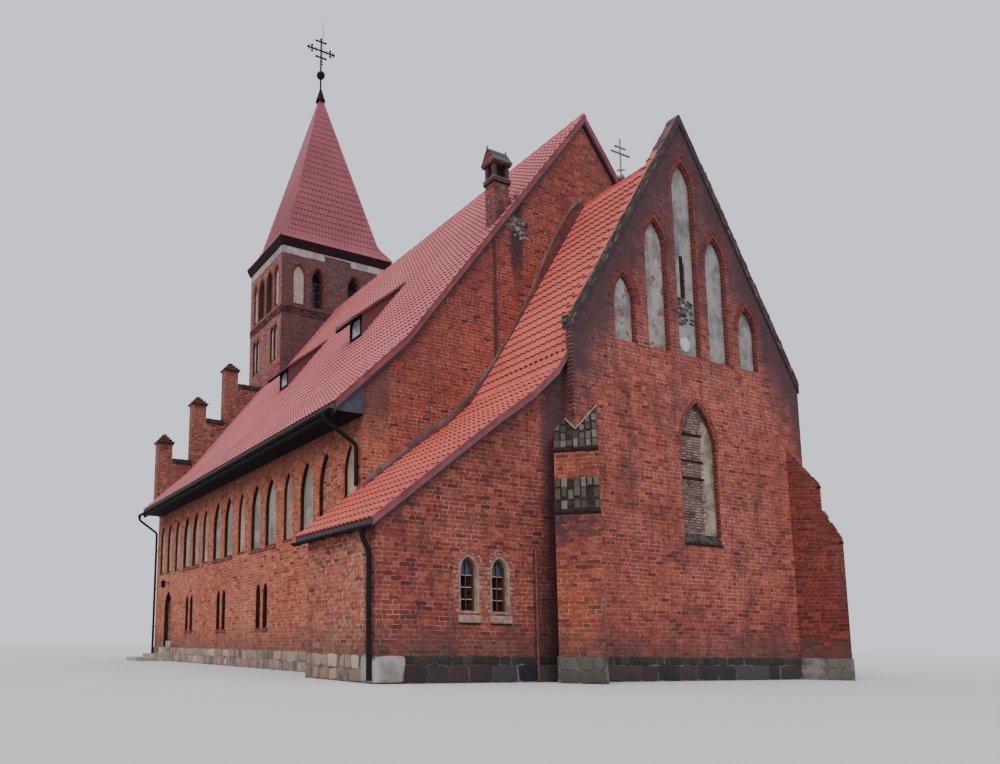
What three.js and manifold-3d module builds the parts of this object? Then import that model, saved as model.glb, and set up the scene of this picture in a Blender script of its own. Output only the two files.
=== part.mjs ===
import * as THREE from 'three';
import { mergeVertices } from 'three/addons/utils/BufferGeometryUtils.js';
import Module from 'manifold-3d';

// Brick village church: nave, west tower with spire, chancel, sacristy under a long roof slope.
// Millimetres. X points east, Y north, Z up. Building X = 0 is the chancel's east face and
// Y = 0 the church's long axis. SHIFT_X and SHIFT_Y centre the outline on the origin.

const wasm = await Module();
wasm.setup();

const GAP = 0.3;

// Chancel
const CHANCEL_HALF = 4306;
const CHANCEL_SOUTH = 4070;
const CHANCEL_WALL = 600;
const PARAPET = 200;
const BUTTRESS_BACK = 450;
const GABLE_APEX = 15070;
const GABLE_FOOT = 8140;
const COPING_HEIGHT = 300;

// Nave
const NAVE_EAST = -3436;
const NAVE_WEST = -22520;
const NAVE_HALF = 7790;
const NAVE_WALL = 750;
const NAVE_GABLE_WALL = 600;
const WEST_WALL = 620;
const WEST_PARAPET = 450;
const FLOOR_TOP = 850;

// Nave roof: top surface heights over the half width, and the vertical thickness of the slab
const NAVE_RIDGE = 17130;
const NAVE_KICK_Y = 6500;
const NAVE_KICK_Z = 8750;
const NAVE_EAVE_Y = 8650;
const NAVE_EAVE_Z = 6680;
const NAVE_SLAB = 260;
const NAVE_VERGE = 100;
const EAVE_BOX_FLOOR = 6480;

// Chancel and sacristy roof
const CHANCEL_RIDGE = 14150;
const CHANCEL_SLAB = 160;
const SLOPE_SOUTH = [
  [0, 14150], [-3000, 9380], [-3700, 8290], [-4400, 7240], [-5200, 6510], [-6200, 5790], [-9430, 3280],
];
const CHANCEL_EAVE_Y = 4620;
const CHANCEL_EAVE_Z = 6870;

// Sacristy
const SACRISTY_EAST = -306;
const SACRISTY_SOUTH = -9268;
const SACRISTY_WALL = 450;
const SACRISTY_VERGE = -126;
const SACRISTY_WEST_VERGE = -3776;

// Tower
const TOWER_WEST = -23950;
const TOWER_EAST = -19918;
const TOWER_HALF = 2960;
const TOWER_WALL = 800;
const BELFRY_WALL = 600;
const BELFRY_FLOOR = 16500;
const TOWER_TOP = 19950;
const CORNICE_OUT = 190;
const SPIRE_EAVE = 20390;
const SPIRE_KICK_Z = 21150;
const SPIRE_TIP = 30150;

// Plinth
const PLINTH_TOP = 560;
const PLINTH_OUT = 30;
const PLINTH_LEDGE = 140;

// Doorway
const DOOR_X = -20500;
const DOOR_WIDTH = 1050;
const DOOR_SPRING = 2250;
const DOOR_APEX = 2970;
const DOOR_REVEAL = 360;
const REBATE_WIDTH = 1350;
const REBATE_TOP = 3150;
const LEAF_THICK = 60;
const HINGE_Z = [1250, 2550];
const HINGE_INSET = 8;
const HINGE_BACK = 16;

const SHIFT_X = 11608.3;
const SHIFT_Y = 385.5;

const BRICK = [0x9c4a35, 0.88, 0];
const STONE = [0x77726b, 0.92, 0];
const TILE = [0xa5463f, 0.62, 0];
const TILE_BRIGHT = [0xb24a38, 0.6, 0];
const WOOD_DARK = [0x2b2220, 0.75, 0];
const METAL_DARK = [0x2a2626, 0.45, 0.7];
const GLASS = [0x26303a, 0.12, 0];

const group = new THREE.Group();

function toSolid(geometry) {
  const bare = geometry.index ? geometry.toNonIndexed() : geometry.clone();
  for (const key of Object.keys(bare.attributes)) {
    if (key !== 'position') {
      bare.deleteAttribute(key);
    }
  }
  const merged = mergeVertices(bare, 0.01);
  const mesh = new wasm.Mesh({
    numProp: 3,
    vertProperties: new Float32Array(merged.attributes.position.array),
    triVerts: new Uint32Array(merged.index.array),
  });
  return new wasm.Manifold(mesh);
}

function box(x0, x1, y0, y1, z0, z1) {
  const geometry = new THREE.BoxGeometry(x1 - x0, y1 - y0, z1 - z0);
  geometry.translate((x0 + x1) / 2, (y0 + y1) / 2, (z0 + z1) / 2);
  return toSolid(geometry);
}

// Extrudes an outline of [u, v] points by depth; order says which axis u, v and depth follow.
function prism(outline, start, end, axes) {
  const shape = new THREE.Shape(outline.map(([u, v]) => new THREE.Vector2(u, v)));
  const geometry = new THREE.ExtrudeGeometry(shape, { depth: end - start, bevelEnabled: false });
  geometry.translate(0, 0, start);
  geometry.applyMatrix4(axes);
  return toSolid(geometry);
}

const AXES_X = new THREE.Matrix4().set(0, 0, 1, 0, 1, 0, 0, 0, 0, 1, 0, 0, 0, 0, 0, 1);
const AXES_Y = new THREE.Matrix4().set(0, 1, 0, 0, 0, 0, 1, 0, 1, 0, 0, 0, 0, 0, 0, 1);

// Outline in [y, z], extruded along X.
function prismX(outline, x0, x1) {
  return prism(outline, x0, x1, AXES_X);
}

// Outline in [x, z], extruded along Y.
function prismY(outline, y0, y1) {
  return prism(outline.map(([x, z]) => [z, x]), y0, y1, AXES_Y);
}

function rod(from, to, radius, sides = 10) {
  const a = new THREE.Vector3(...from);
  const b = new THREE.Vector3(...to);
  const direction = b.clone().sub(a);
  const geometry = new THREE.CylinderGeometry(radius, radius, direction.length(), sides);
  const turn = new THREE.Quaternion().setFromUnitVectors(new THREE.Vector3(0, 1, 0), direction.normalize());
  geometry.applyQuaternion(turn);
  geometry.translate((a.x + b.x) / 2, (a.y + b.y) / 2, (a.z + b.z) / 2);
  return toSolid(geometry);
}

function ball(centre, radius) {
  const geometry = new THREE.IcosahedronGeometry(radius, 2);
  geometry.translate(...centre);
  return toSolid(geometry);
}

// Four-sided pyramid on the base rectangle.
function pyramid(x0, x1, y0, y1, z0, apex) {
  const middle = [(x0 + x1) / 2, (y0 + y1) / 2, apex];
  const corners = [[x0, y0, z0], [x1, y0, z0], [x1, y1, z0], [x0, y1, z0]];
  return frustum(corners, [middle, middle, middle, middle]);
}

// Solid between two four-cornered rings, lower ring first, both counter-clockwise from above.
function frustum(low, high) {
  const points = [...low, ...high].flat();
  const faces = [0, 2, 1, 0, 3, 2, 4, 5, 6, 4, 6, 7];
  for (let i = 0; i < 4; i += 1) {
    const j = (i + 1) % 4;
    faces.push(i, j, 4 + j, i, 4 + j, 4 + i);
  }
  const geometry = new THREE.BufferGeometry();
  geometry.setAttribute('position', new THREE.BufferAttribute(new Float32Array(points), 3));
  geometry.setIndex(faces);
  const flat = mergeVertices(geometry, 0.01);
  const kept = [];
  for (let i = 0; i < flat.index.count; i += 3) {
    const [a, b, c] = [flat.index.array[i], flat.index.array[i + 1], flat.index.array[i + 2]];
    if (a !== b && b !== c && a !== c) {
      kept.push(a, b, c);
    }
  }
  flat.setIndex(kept);
  return toSolid(flat);
}

function rectangle(x0, x1, y0, y1, z) {
  return [[x0, y0, z], [x1, y0, z], [x1, y1, z], [x0, y1, z]];
}

// Pointed arch outline: straight jambs up to the spring line, two arcs to the apex.
function lancet(centre, width, sill, apex, rise = width * 0.95, steps = 5) {
  const half = width / 2;
  const spring = apex - rise;
  const offset = (rise * rise - half * half) / (2 * half);
  const radius = offset + half;
  const start = Math.PI;
  const end = Math.PI - Math.atan2(rise, offset);
  const right = [];
  const left = [];
  for (let i = 0; i <= steps; i += 1) {
    const angle = start + ((end - start) * i) / steps;
    const u = offset + radius * Math.cos(angle);
    const v = spring + radius * Math.sin(angle);
    left.push([centre + u, v]);
    if (i < steps) {
      right.push([centre - u, v]);
    }
  }
  return [[centre - half, sill], [centre + half, sill], ...right, ...left.reverse()];
}

function union(parts) {
  return parts.reduce((sum, part) => sum.add(part));
}

function add(name, solid, look) {
  const data = solid.getMesh();
  const geometry = new THREE.BufferGeometry();
  geometry.setAttribute('position', new THREE.BufferAttribute(new Float32Array(data.vertProperties), 3));
  geometry.setIndex(new THREE.BufferAttribute(new Uint32Array(data.triVerts), 1));
  geometry.translate(SHIFT_X, SHIFT_Y, 0);
  geometry.computeVertexNormals();
  const [color, roughness, metalness] = look;
  const mesh = new THREE.Mesh(geometry, new THREE.MeshStandardMaterial({ color, roughness, metalness }));
  mesh.name = name;
  group.add(mesh);
  return solid;
}

const mirrorY = (outline) => outline.map(([y, z]) => [-y, z]).reverse();

// Copy of a solid under a matrix; a mirrored copy has its triangles turned back outward.
function moved(solid, matrix) {
  const data = solid.getMesh();
  const geometry = new THREE.BufferGeometry();
  geometry.setAttribute('position', new THREE.BufferAttribute(new Float32Array(data.vertProperties), 3));
  geometry.applyMatrix4(matrix);
  const triVerts = Uint32Array.from(data.triVerts);
  if (matrix.determinant() < 0) {
    triVerts.reverse();
  }
  const vertProperties = geometry.attributes.position.array;
  return new wasm.Manifold(new wasm.Mesh({ numProp: 3, vertProperties, triVerts }));
}

const ACROSS = new THREE.Matrix4().makeScale(1, -1, 1);

// Nave roof surface height at a distance from the axis
const naveSlope = (NAVE_RIDGE - NAVE_KICK_Z) / NAVE_KICK_Y;
const kickSlope = (NAVE_KICK_Z - NAVE_EAVE_Z) / (NAVE_EAVE_Y - NAVE_KICK_Y);

function naveTop(y) {
  const d = Math.abs(y);
  return d <= NAVE_KICK_Y ? NAVE_RIDGE - naveSlope * d : NAVE_KICK_Z - kickSlope * (d - NAVE_KICK_Y);
}

const naveUnder = (y) => naveTop(y) - NAVE_SLAB;

// Chancel and sacristy roof surface heights, south slope by the table, north slope straight
function southTop(y) {
  for (let i = 1; i < SLOPE_SOUTH.length; i += 1) {
    const [y0, z0] = SLOPE_SOUTH[i - 1];
    const [y1, z1] = SLOPE_SOUTH[i];
    if (y >= y1) {
      return z0 + ((z1 - z0) * (y - y0)) / (y1 - y0);
    }
  }
  return SLOPE_SOUTH[SLOPE_SOUTH.length - 1][1];
}

const southUnder = (y) => southTop(y) - CHANCEL_SLAB;
const northSlope = (CHANCEL_RIDGE - CHANCEL_EAVE_Z) / CHANCEL_EAVE_Y;
const northUnder = (y) => CHANCEL_RIDGE - northSlope * y - CHANCEL_SLAB;

// Plinth: one ring under nave and tower, one under chancel and sacristy
const naveInsideWest = NAVE_WEST + WEST_WALL;
const naveInsideEast = NAVE_EAST - NAVE_GABLE_WALL;
const naveInside = NAVE_HALF - NAVE_WALL;
const towerOuter = (z0, z1, out = 0) =>
  box(TOWER_WEST - out, TOWER_EAST + out, -TOWER_HALF - out, TOWER_HALF + out, z0, z1);

const doorCut = box(
  DOOR_X - DOOR_WIDTH / 2, DOOR_X + DOOR_WIDTH / 2, -NAVE_HALF - 200, -naveInside + 400, -10, 2000);

const plinthNave = union([
  box(NAVE_WEST - PLINTH_OUT, NAVE_EAST, -NAVE_HALF - PLINTH_OUT, NAVE_HALF + PLINTH_OUT, 0, PLINTH_TOP),
  towerOuter(0, PLINTH_TOP, PLINTH_OUT),
]).subtract(
  box(
    naveInsideWest + PLINTH_LEDGE, naveInsideEast - PLINTH_LEDGE,
    -naveInside + PLINTH_LEDGE, naveInside - PLINTH_LEDGE, -10, 900,
  ).subtract(towerOuter(-20, 910, PLINTH_LEDGE)),
).subtract(
  box(TOWER_WEST + TOWER_WALL, TOWER_EAST - TOWER_WALL, -TOWER_HALF + TOWER_WALL, TOWER_HALF - TOWER_WALL, -10, 900),
).subtract(doorCut);
add('plinth_nave', plinthNave, STONE);

// Diagonal buttresses: outline in [distance out from the corner, height]
const BUTTRESS_NORTH = [[-900, 0], [700, 0], [700, 3650], [270, 4515], [270, 5170], [-500, 6250], [-900, 6250]];
const BUTTRESS_SOUTH = [[-900, 0], [780, 0], [780, 3740], [400, 4570], [400, 5240], [-480, 6440], [-900, 6440]];
const BUTTRESS_HALF = 480;

function buttress(sign, z0, out) {
  const profile = sign < 0 ? BUTTRESS_SOUTH : BUTTRESS_NORTH;
  const foot = profile[1][0];
  const outline = profile.map(([d, z]) => [d === foot ? foot + out : d, z]);
  const raw = prismY(outline, -BUTTRESS_HALF - out, BUTTRESS_HALF + out);
  const corner = new THREE.Matrix4().makeTranslation(0, sign < 0 ? -CHANCEL_SOUTH : -CHANCEL_HALF, 0);
  const turned = moved(raw, corner.multiply(new THREE.Matrix4().makeRotationZ(-Math.PI / 4)));
  const placed = sign < 0 ? turned : moved(turned, ACROSS);
  return placed.intersect(box(-3000, 3000, -9000, 9000, z0, 9000));
}

const chancelOuter = (z0, z1, out) =>
  box(NAVE_EAST + GAP, out, -CHANCEL_SOUTH - out, CHANCEL_HALF + out, z0, z1);
const sacristyOuter = (z0, z1, out) =>
  box(NAVE_EAST + GAP, SACRISTY_EAST + out, SACRISTY_SOUTH - out, -CHANCEL_SOUTH + 120, z0, z1);
const footing = box(-3000, 3000, -9000, 9000, -1, PLINTH_TOP);

const plinthEast = union([
  chancelOuter(0, PLINTH_TOP, PLINTH_OUT),
  sacristyOuter(0, PLINTH_TOP, PLINTH_OUT),
  buttress(-1, -1, PLINTH_OUT).intersect(footing),
  buttress(1, -1, PLINTH_OUT).intersect(footing),
]).subtract(
  box(NAVE_EAST - 10, -CHANCEL_WALL, -CHANCEL_SOUTH + CHANCEL_WALL, CHANCEL_HALF - CHANCEL_WALL, -10, 900),
).subtract(
  box(
    NAVE_EAST + 450 + PLINTH_LEDGE, SACRISTY_EAST - SACRISTY_WALL - PLINTH_LEDGE,
    SACRISTY_SOUTH + SACRISTY_WALL + PLINTH_LEDGE, -CHANCEL_SOUTH - PLINTH_LEDGE, -10, 900),
);
add('plinth_east', plinthEast, STONE);

// Floors
const floorNave = box(
  naveInsideWest + GAP, naveInsideEast - GAP, -naveInside + GAP, naveInside - GAP, PLINTH_TOP + GAP, FLOOR_TOP,
).subtract(towerOuter(0, 2000, GAP));
add('nave_floor', floorNave, STONE);

const sacristyInWest = NAVE_EAST + 450;
const sacristyInEast = SACRISTY_EAST - SACRISTY_WALL;
add('sacristy_floor', box(
  sacristyInWest + GAP, sacristyInEast - GAP,
  SACRISTY_SOUTH + SACRISTY_WALL + GAP, -CHANCEL_SOUTH - GAP, PLINTH_TOP + GAP, FLOOR_TOP,
), STONE);

// Openings of the long walls, by X: [centre, width, depth], pairs and singles of one row
const UPPER_SILL = 3780;
const UPPER_APEX = 5960;
const SLIT_SILL = 1240;
const SLIT_APEX = 2670;
const PAIRS = [-17450, -13680, -9870, -6050];
const SINGLES = [-15650, -11790, -7940, -4090];
const TRIPLE = [-21680, -20550, -19350];
const PAIR_PITCH = 610;

function niches(sign) {
  const face = sign * NAVE_HALF;
  const deep = (depth) => (sign < 0 ? [face - 100, face + depth] : [face - depth, face + 100]);
  const cuts = [];
  for (const x of PAIRS) {
    for (const side of [-1, 1]) {
      cuts.push(prismY(lancet(x + side * PAIR_PITCH, 840, UPPER_SILL, UPPER_APEX, 900), ...deep(200)));
      cuts.push(prismY(lancet(x + side * 290, 340, SLIT_SILL, SLIT_APEX, 300, 3), ...deep(900)));
    }
  }
  for (const x of SINGLES) {
    cuts.push(prismY(lancet(x, 640, UPPER_SILL, UPPER_APEX - 60, 700), ...deep(150)));
  }
  for (const x of TRIPLE) {
    cuts.push(prismY(lancet(x, 660, UPPER_SILL, UPPER_APEX + 40, 720), ...deep(150)));
  }
  return union(cuts);
}

function longWall(sign) {
  const outline = [
    [-NAVE_HALF, PLINTH_TOP + GAP],
    [-naveInside, PLINTH_TOP + GAP],
    [-naveInside, naveUnder(naveInside) - GAP],
    [-NAVE_HALF, naveUnder(NAVE_HALF) - GAP],
  ];
  const parapetFoot = box(NAVE_WEST - 10, NAVE_WEST + WEST_PARAPET + GAP, -9000, 9000, WEST_FOOT - GAP, 12000);
  return prismX(sign < 0 ? outline : mirrorY(outline), NAVE_WEST, NAVE_EAST)
    .subtract(niches(sign))
    .subtract(parapetFoot);
}

const WEST_FOOT = 6250;
const southWall = longWall(-1);
const doorWest = DOOR_X - REBATE_WIDTH / 2;
const doorEast = DOOR_X + REBATE_WIDTH / 2;
const archCut = prismY(
  lancet(DOOR_X, DOOR_WIDTH, 0, DOOR_APEX, DOOR_APEX - DOOR_SPRING, 6), -NAVE_HALF - 100, -NAVE_HALF + DOOR_REVEAL);
const rebateCut = box(doorWest, doorEast, -NAVE_HALF + DOOR_REVEAL, -naveInside + 100, FLOOR_TOP, REBATE_TOP);
const jambWest = DOOR_X - DOOR_WIDTH / 2;
const jambEast = DOOR_X + DOOR_WIDTH / 2;
const stepCut = box(jambWest, jambEast, -NAVE_HALF - 100, -naveInside + 100, 0, FLOOR_TOP + 10);
const southOpen = southWall.subtract(archCut.add(rebateCut).add(stepCut));
const OVER_DOOR = 2200;

// The wall is split on the rebate's edges: two flanks and the stretch over the doorway
const overDoor = southOpen.intersect(box(doorWest, doorEast, -9000, -6000, OVER_DOOR, 9000));
add('south_wall_over_door', overDoor, BRICK);
add('south_wall_west', southOpen
  .intersect(box(NAVE_WEST - 10, jambWest + 400, -9000, -6000, 0, 9000))
  .subtract(box(doorWest - GAP, doorEast + 900, -9000, -6000, OVER_DOOR - GAP, 9000)), BRICK);
add('south_wall', southOpen
  .intersect(box(jambEast - 400, NAVE_EAST + 10, -9000, -6000, 0, 9000))
  .subtract(box(doorWest - 900, doorEast + GAP, -9000, -6000, OVER_DOOR - GAP, 9000)), BRICK);
add('north_wall', longWall(1), BRICK);

// Nave east gable wall between the long walls
const naveGableOutline = [
  [-naveInside + GAP, PLINTH_TOP + GAP],
  [naveInside - GAP, PLINTH_TOP + GAP],
  [naveInside - GAP, naveUnder(naveInside - GAP) - GAP],
  [NAVE_KICK_Y, naveUnder(NAVE_KICK_Y) - GAP],
  [0, naveUnder(0) - GAP],
  [-NAVE_KICK_Y, naveUnder(NAVE_KICK_Y) - GAP],
  [-naveInside + GAP, naveUnder(naveInside - GAP) - GAP],
];
add('nave_east_gable', prismX(naveGableOutline, NAVE_EAST - NAVE_GABLE_WALL, NAVE_EAST), BRICK);

// Stepped west gable: the tower parts it into two halves, each with three pinnacles
const PINNACLE_Y = 7750;
const PINNACLE_PITCH = 1575;
const PINNACLE_HALF = 345;
const PINNACLE_CAP = [9980, 12060, 14000];
const PINNACLE_APEX = [10460, 12500, 14440];
const STEP_TOP = [9220, 11360, 13320];

function westGable(sign) {
  const x0 = NAVE_WEST;
  const x1 = NAVE_WEST + WEST_PARAPET;
  const parts = [];
  const lower = [
    [-naveInside + GAP, PLINTH_TOP + GAP],
    [-TOWER_HALF - GAP, PLINTH_TOP + GAP],
    [-TOWER_HALF - GAP, naveUnder(TOWER_HALF + GAP) - GAP],
    [-NAVE_KICK_Y, naveUnder(NAVE_KICK_Y) - GAP],
    [-naveInside + GAP, naveUnder(naveInside) - GAP],
  ];
  parts.push(prismX(lower, x0, x0 + WEST_WALL));
  const flank = [
    [-NAVE_HALF, WEST_FOOT],
    [-TOWER_HALF - GAP, WEST_FOOT],
    [-TOWER_HALF - GAP, STEP_TOP[2]],
    [-PINNACLE_Y + 2 * PINNACLE_PITCH, STEP_TOP[2]],
    [-PINNACLE_Y + 2 * PINNACLE_PITCH, STEP_TOP[1]],
    [-PINNACLE_Y + PINNACLE_PITCH, STEP_TOP[1]],
    [-PINNACLE_Y + PINNACLE_PITCH, STEP_TOP[0]],
    [-PINNACLE_Y - PINNACLE_HALF, STEP_TOP[0]],
    [-PINNACLE_Y - PINNACLE_HALF, 6900],
    [-NAVE_HALF, 6500],
  ];
  parts.push(prismX(flank, x0, x1));
  for (let i = 0; i < 3; i += 1) {
    const y = -PINNACLE_Y + i * PINNACLE_PITCH;
    parts.push(box(x0, x1, y - PINNACLE_HALF, y + PINNACLE_HALF, 8000, PINNACLE_CAP[i]));
    parts.push(pyramid(
      x0 - 50, x1 + 50, y - PINNACLE_HALF - 60, y + PINNACLE_HALF + 60, PINNACLE_CAP[i] - 1, PINNACLE_APEX[i]));
  }
  const whole = union(parts);
  return sign < 0 ? whole : moved(whole, ACROSS);
}

add('west_gable_south', westGable(-1), BRICK);
add('west_gable_north', westGable(1), BRICK);

// Tower shaft with its floor ledge, windows cut through and niches in the faces
const BELFRY_SILL = 17050;
const BELFRY_APEX = 19170;
const towerCentre = (TOWER_WEST + TOWER_EAST) / 2;

function towerCuts() {
  const cuts = [];
  for (const side of [-1, 1]) {
    cuts.push(prismX(lancet(side * 1000, 700, BELFRY_SILL, BELFRY_APEX, 620), TOWER_WEST - 100, TOWER_EAST + 100));
    cuts.push(prismY(
      lancet(towerCentre + side * 500, 640, BELFRY_SILL, BELFRY_APEX, 600), -TOWER_HALF - 100, TOWER_HALF + 100));
    for (const face of [[TOWER_WEST - 100, TOWER_WEST + 130], [TOWER_EAST - 130, TOWER_EAST + 100]]) {
      cuts.push(prismX(lancet(side * 2030, 700, BELFRY_SILL, BELFRY_APEX, 620), ...face));
    }
    for (const face of [[-TOWER_HALF - 100, -TOWER_HALF + 130], [TOWER_HALF - 130, TOWER_HALF + 100]]) {
      cuts.push(prismY(lancet(towerCentre + side * 1350, 520, BELFRY_SILL, BELFRY_APEX, 500), ...face));
      cuts.push(prismY(lancet(towerCentre + side * 1130 - 220, 360, 14350, 16150, 330, 3), ...face));
      cuts.push(prismY(lancet(towerCentre + side * 1130 + 220, 360, 14350, 16150, 330, 3), ...face));
    }
  }
  return union(cuts);
}

const shaft = towerOuter(PLINTH_TOP + GAP, TOWER_TOP)
  .subtract(box(
    TOWER_WEST + TOWER_WALL, TOWER_EAST - TOWER_WALL, -TOWER_HALF + TOWER_WALL, TOWER_HALF - TOWER_WALL, 0, 30000))
  .subtract(box(
    TOWER_WEST + BELFRY_WALL, TOWER_EAST - BELFRY_WALL,
    -TOWER_HALF + BELFRY_WALL, TOWER_HALF - BELFRY_WALL, BELFRY_FLOOR, 30000))
  .subtract(towerCuts());
add('tower_shaft', shaft, BRICK);
add('belfry_floor', box(
  TOWER_WEST + BELFRY_WALL + GAP, TOWER_EAST - BELFRY_WALL - GAP,
  -TOWER_HALF + BELFRY_WALL + GAP, TOWER_HALF - BELFRY_WALL - GAP, BELFRY_FLOOR + GAP, BELFRY_FLOOR + 150,
), WOOD_DARK);

const cornice = frustum(
  rectangle(TOWER_WEST - 60, TOWER_EAST + 60, -TOWER_HALF - 60, TOWER_HALF + 60, TOWER_TOP + GAP),
  rectangle(
    TOWER_WEST - CORNICE_OUT, TOWER_EAST + CORNICE_OUT,
    -TOWER_HALF - CORNICE_OUT, TOWER_HALF + CORNICE_OUT, SPIRE_EAVE - 60),
).subtract(box(
  TOWER_WEST + BELFRY_WALL, TOWER_EAST - BELFRY_WALL,
  -TOWER_HALF + BELFRY_WALL, TOWER_HALF - BELFRY_WALL, 19000, 21000));
add('tower_cornice', cornice, WOOD_DARK);

// Spire: hollow, with a flatter skirt at its foot
function spireSolid(inset, bottom) {
  const w = TOWER_WEST - CORNICE_OUT - 10 + inset;
  const e = TOWER_EAST + CORNICE_OUT + 10 - inset;
  const h = TOWER_HALF + CORNICE_OUT + 10 - inset;
  const kx = 470;
  const ky = 640;
  const skirt = frustum(
    rectangle(w, e, -h, h, bottom),
    rectangle(w + kx, e - kx, -h + ky, h - ky, SPIRE_KICK_Z - inset),
  );
  const tip = [towerCentre, 0, SPIRE_TIP - inset * 4];
  const body = frustum(
    rectangle(w + kx, e - kx, -h + ky, h - ky, SPIRE_KICK_Z - inset - 1),
    [tip, tip, tip, tip],
  );
  return skirt.add(body);
}

const spireInner = spireSolid(200, SPIRE_EAVE - 300);
const spire = spireSolid(0, SPIRE_EAVE - 60 + GAP).subtract(spireInner);
add('spire', spire, TILE);

// Cap, rod, ball, cross and lightning rod over the spire
const crossX = towerCentre - 20;
const finial = union([
  frustum(rectangle(crossX - 170, crossX + 170, -170, 170, 29750), rectangle(crossX - 45, crossX + 45, -45, 45, 30480)),
  rod([crossX, 0, 30400], [crossX, 0, 33480], 38),
  ball([crossX, 0, 31350], 185),
  box(crossX - 22, crossX + 22, -800, 800, 32790, 32850),
  box(crossX - 22, crossX + 22, -740, -700, 32660, 32980),
  box(crossX - 22, crossX + 22, 700, 740, 32660, 32980),
  box(crossX - 22, crossX + 22, -170, 170, 33330, 33380),
  box(crossX - 22, crossX + 22, -330, -290, 32700, 32940),
  box(crossX - 22, crossX + 22, 290, 330, 32700, 32940),
  rod([crossX, 110, 32000], [crossX, 110, 34550], 16, 6),
  box(crossX - 16, crossX + 16, 0, 120, 32020, 32060),
]).subtract(spireSolid(0, 20000).add(moved(spireSolid(0, 20000), new THREE.Matrix4().makeTranslation(0, 0, GAP))));
add('spire_cross', finial, METAL_DARK);

// Nave roof slopes
const slabSouth = [
  [-GAP / 2, naveTop(GAP / 2)],
  [-NAVE_KICK_Y, NAVE_KICK_Z],
  [-NAVE_EAVE_Y, NAVE_EAVE_Z],
  [-NAVE_EAVE_Y, NAVE_EAVE_Z - NAVE_SLAB],
  [-NAVE_KICK_Y, NAVE_KICK_Z - NAVE_SLAB],
  [-GAP / 2, naveTop(GAP / 2) - NAVE_SLAB],
];
const roofWest = NAVE_WEST + WEST_PARAPET + GAP;
const roofEast = NAVE_EAST + NAVE_VERGE;
const towerNotch = towerOuter(0, 30000, GAP);

const CHIMNEY = [-3900, -3500, -3440, -2880];
const chimneyHole = box(CHIMNEY[0] - GAP, CHIMNEY[1] + GAP, CHIMNEY[2] - GAP, CHIMNEY[3] + GAP, 8000, 20000);

const DORMER_FRONT = -4750;
const DORMER_HALF = 425;
const DORMERS = { dormer_east: -9320, dormer_west: -15350 };
const atticHoles = union(Object.values(DORMERS).map((x) =>
  box(x - DORMER_HALF + 70, x + DORMER_HALF - 70, DORMER_FRONT + 90, -3500, 8000, 20000)));

add('nave_roof_south', prismX(slabSouth, roofWest, roofEast)
  .subtract(towerNotch)
  .subtract(chimneyHole)
  .subtract(atticHoles), TILE);

// The ridge capping is one piece with the north slope and laps over the south slope
const naveRidge = prismX([
  [-170, naveTop(170) + GAP], [GAP / 2, NAVE_RIDGE + GAP], [GAP / 2, NAVE_RIDGE - 100], [170, naveTop(170) - 40],
  [150, naveTop(170) + 70], [60, NAVE_RIDGE + 60], [-60, NAVE_RIDGE + 60], [-150, naveTop(170) + 70],
], TOWER_EAST + GAP, roofEast);
add('nave_roof_north', prismX(mirrorY(slabSouth), roofWest, roofEast).subtract(towerNotch).add(naveRidge), TILE);

// Boxed eaves under the nave roof's overhang
const eaveBox = [
  [-NAVE_HALF - GAP, EAVE_BOX_FLOOR],
  [-NAVE_HALF - GAP, naveUnder(NAVE_HALF) - GAP],
  [-NAVE_EAVE_Y + 10, naveUnder(NAVE_EAVE_Y - 10) - GAP],
  [-NAVE_EAVE_Y + 10, EAVE_BOX_FLOOR - 120],
  [-NAVE_EAVE_Y + 60, EAVE_BOX_FLOOR - 120],
  [-NAVE_EAVE_Y + 140, EAVE_BOX_FLOOR],
];
const eaveWest = NAVE_WEST + WEST_PARAPET + GAP;
add('eaves_south', prismX(eaveBox, eaveWest, NAVE_EAST + 20), WOOD_DARK);
add('eaves_north', prismX(mirrorY(eaveBox), eaveWest, NAVE_EAST + 20), WOOD_DARK);

// Dormers: front with its window opening, two cheeks and a shallow roof that runs into the slope
const DORMER_SLOPE = 0.8;
const DORMER_UNDER = 11870;
const dormerUnder = (y) => DORMER_UNDER + DORMER_SLOPE * (y - DORMER_FRONT);
const slopeMeet = (lift) =>
  (DORMER_UNDER + lift - DORMER_SLOPE * DORMER_FRONT - NAVE_RIDGE - GAP) / (naveSlope - DORMER_SLOPE);

function dormer(centre) {
  const back = slopeMeet(0);
  const cheek = [
    [DORMER_FRONT, naveTop(DORMER_FRONT) + GAP],
    [back, naveTop(back) + GAP],
    [back, dormerUnder(back) + 1],
    [DORMER_FRONT, DORMER_UNDER + 1],
  ];
  const body = prismX(cheek, centre - DORMER_HALF, centre + DORMER_HALF)
    .subtract(box(centre - DORMER_HALF + 60, centre + DORMER_HALF - 60, DORMER_FRONT + 80, -2000, 9000, 16000))
    .subtract(box(centre - DORMER_HALF + 80, centre + DORMER_HALF - 80, DORMER_FRONT - 100, DORMER_FRONT + 200,
      naveTop(DORMER_FRONT) + 130, DORMER_UNDER - 60));
  const tail = slopeMeet(100);
  const lip = DORMER_FRONT - 480;
  const cover = [
    [lip, dormerUnder(lip)],
    [back, dormerUnder(back)],
    [tail, dormerUnder(tail) + 100],
    [lip, dormerUnder(lip) + 100],
  ];
  return body.add(prismX(cover, centre - DORMER_HALF - 150, centre + DORMER_HALF + 110));
}

for (const [name, centre] of Object.entries(DORMERS)) {
  add(name, dormer(centre), TILE);
  add(`${name}_glass`, box(
    centre - DORMER_HALF + 80 + GAP, centre + DORMER_HALF - 80 - GAP,
    DORMER_FRONT + 35, DORMER_FRONT + 50, naveTop(DORMER_FRONT) + 130 + GAP, DORMER_UNDER - 60 - GAP), GLASS);
}

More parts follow.
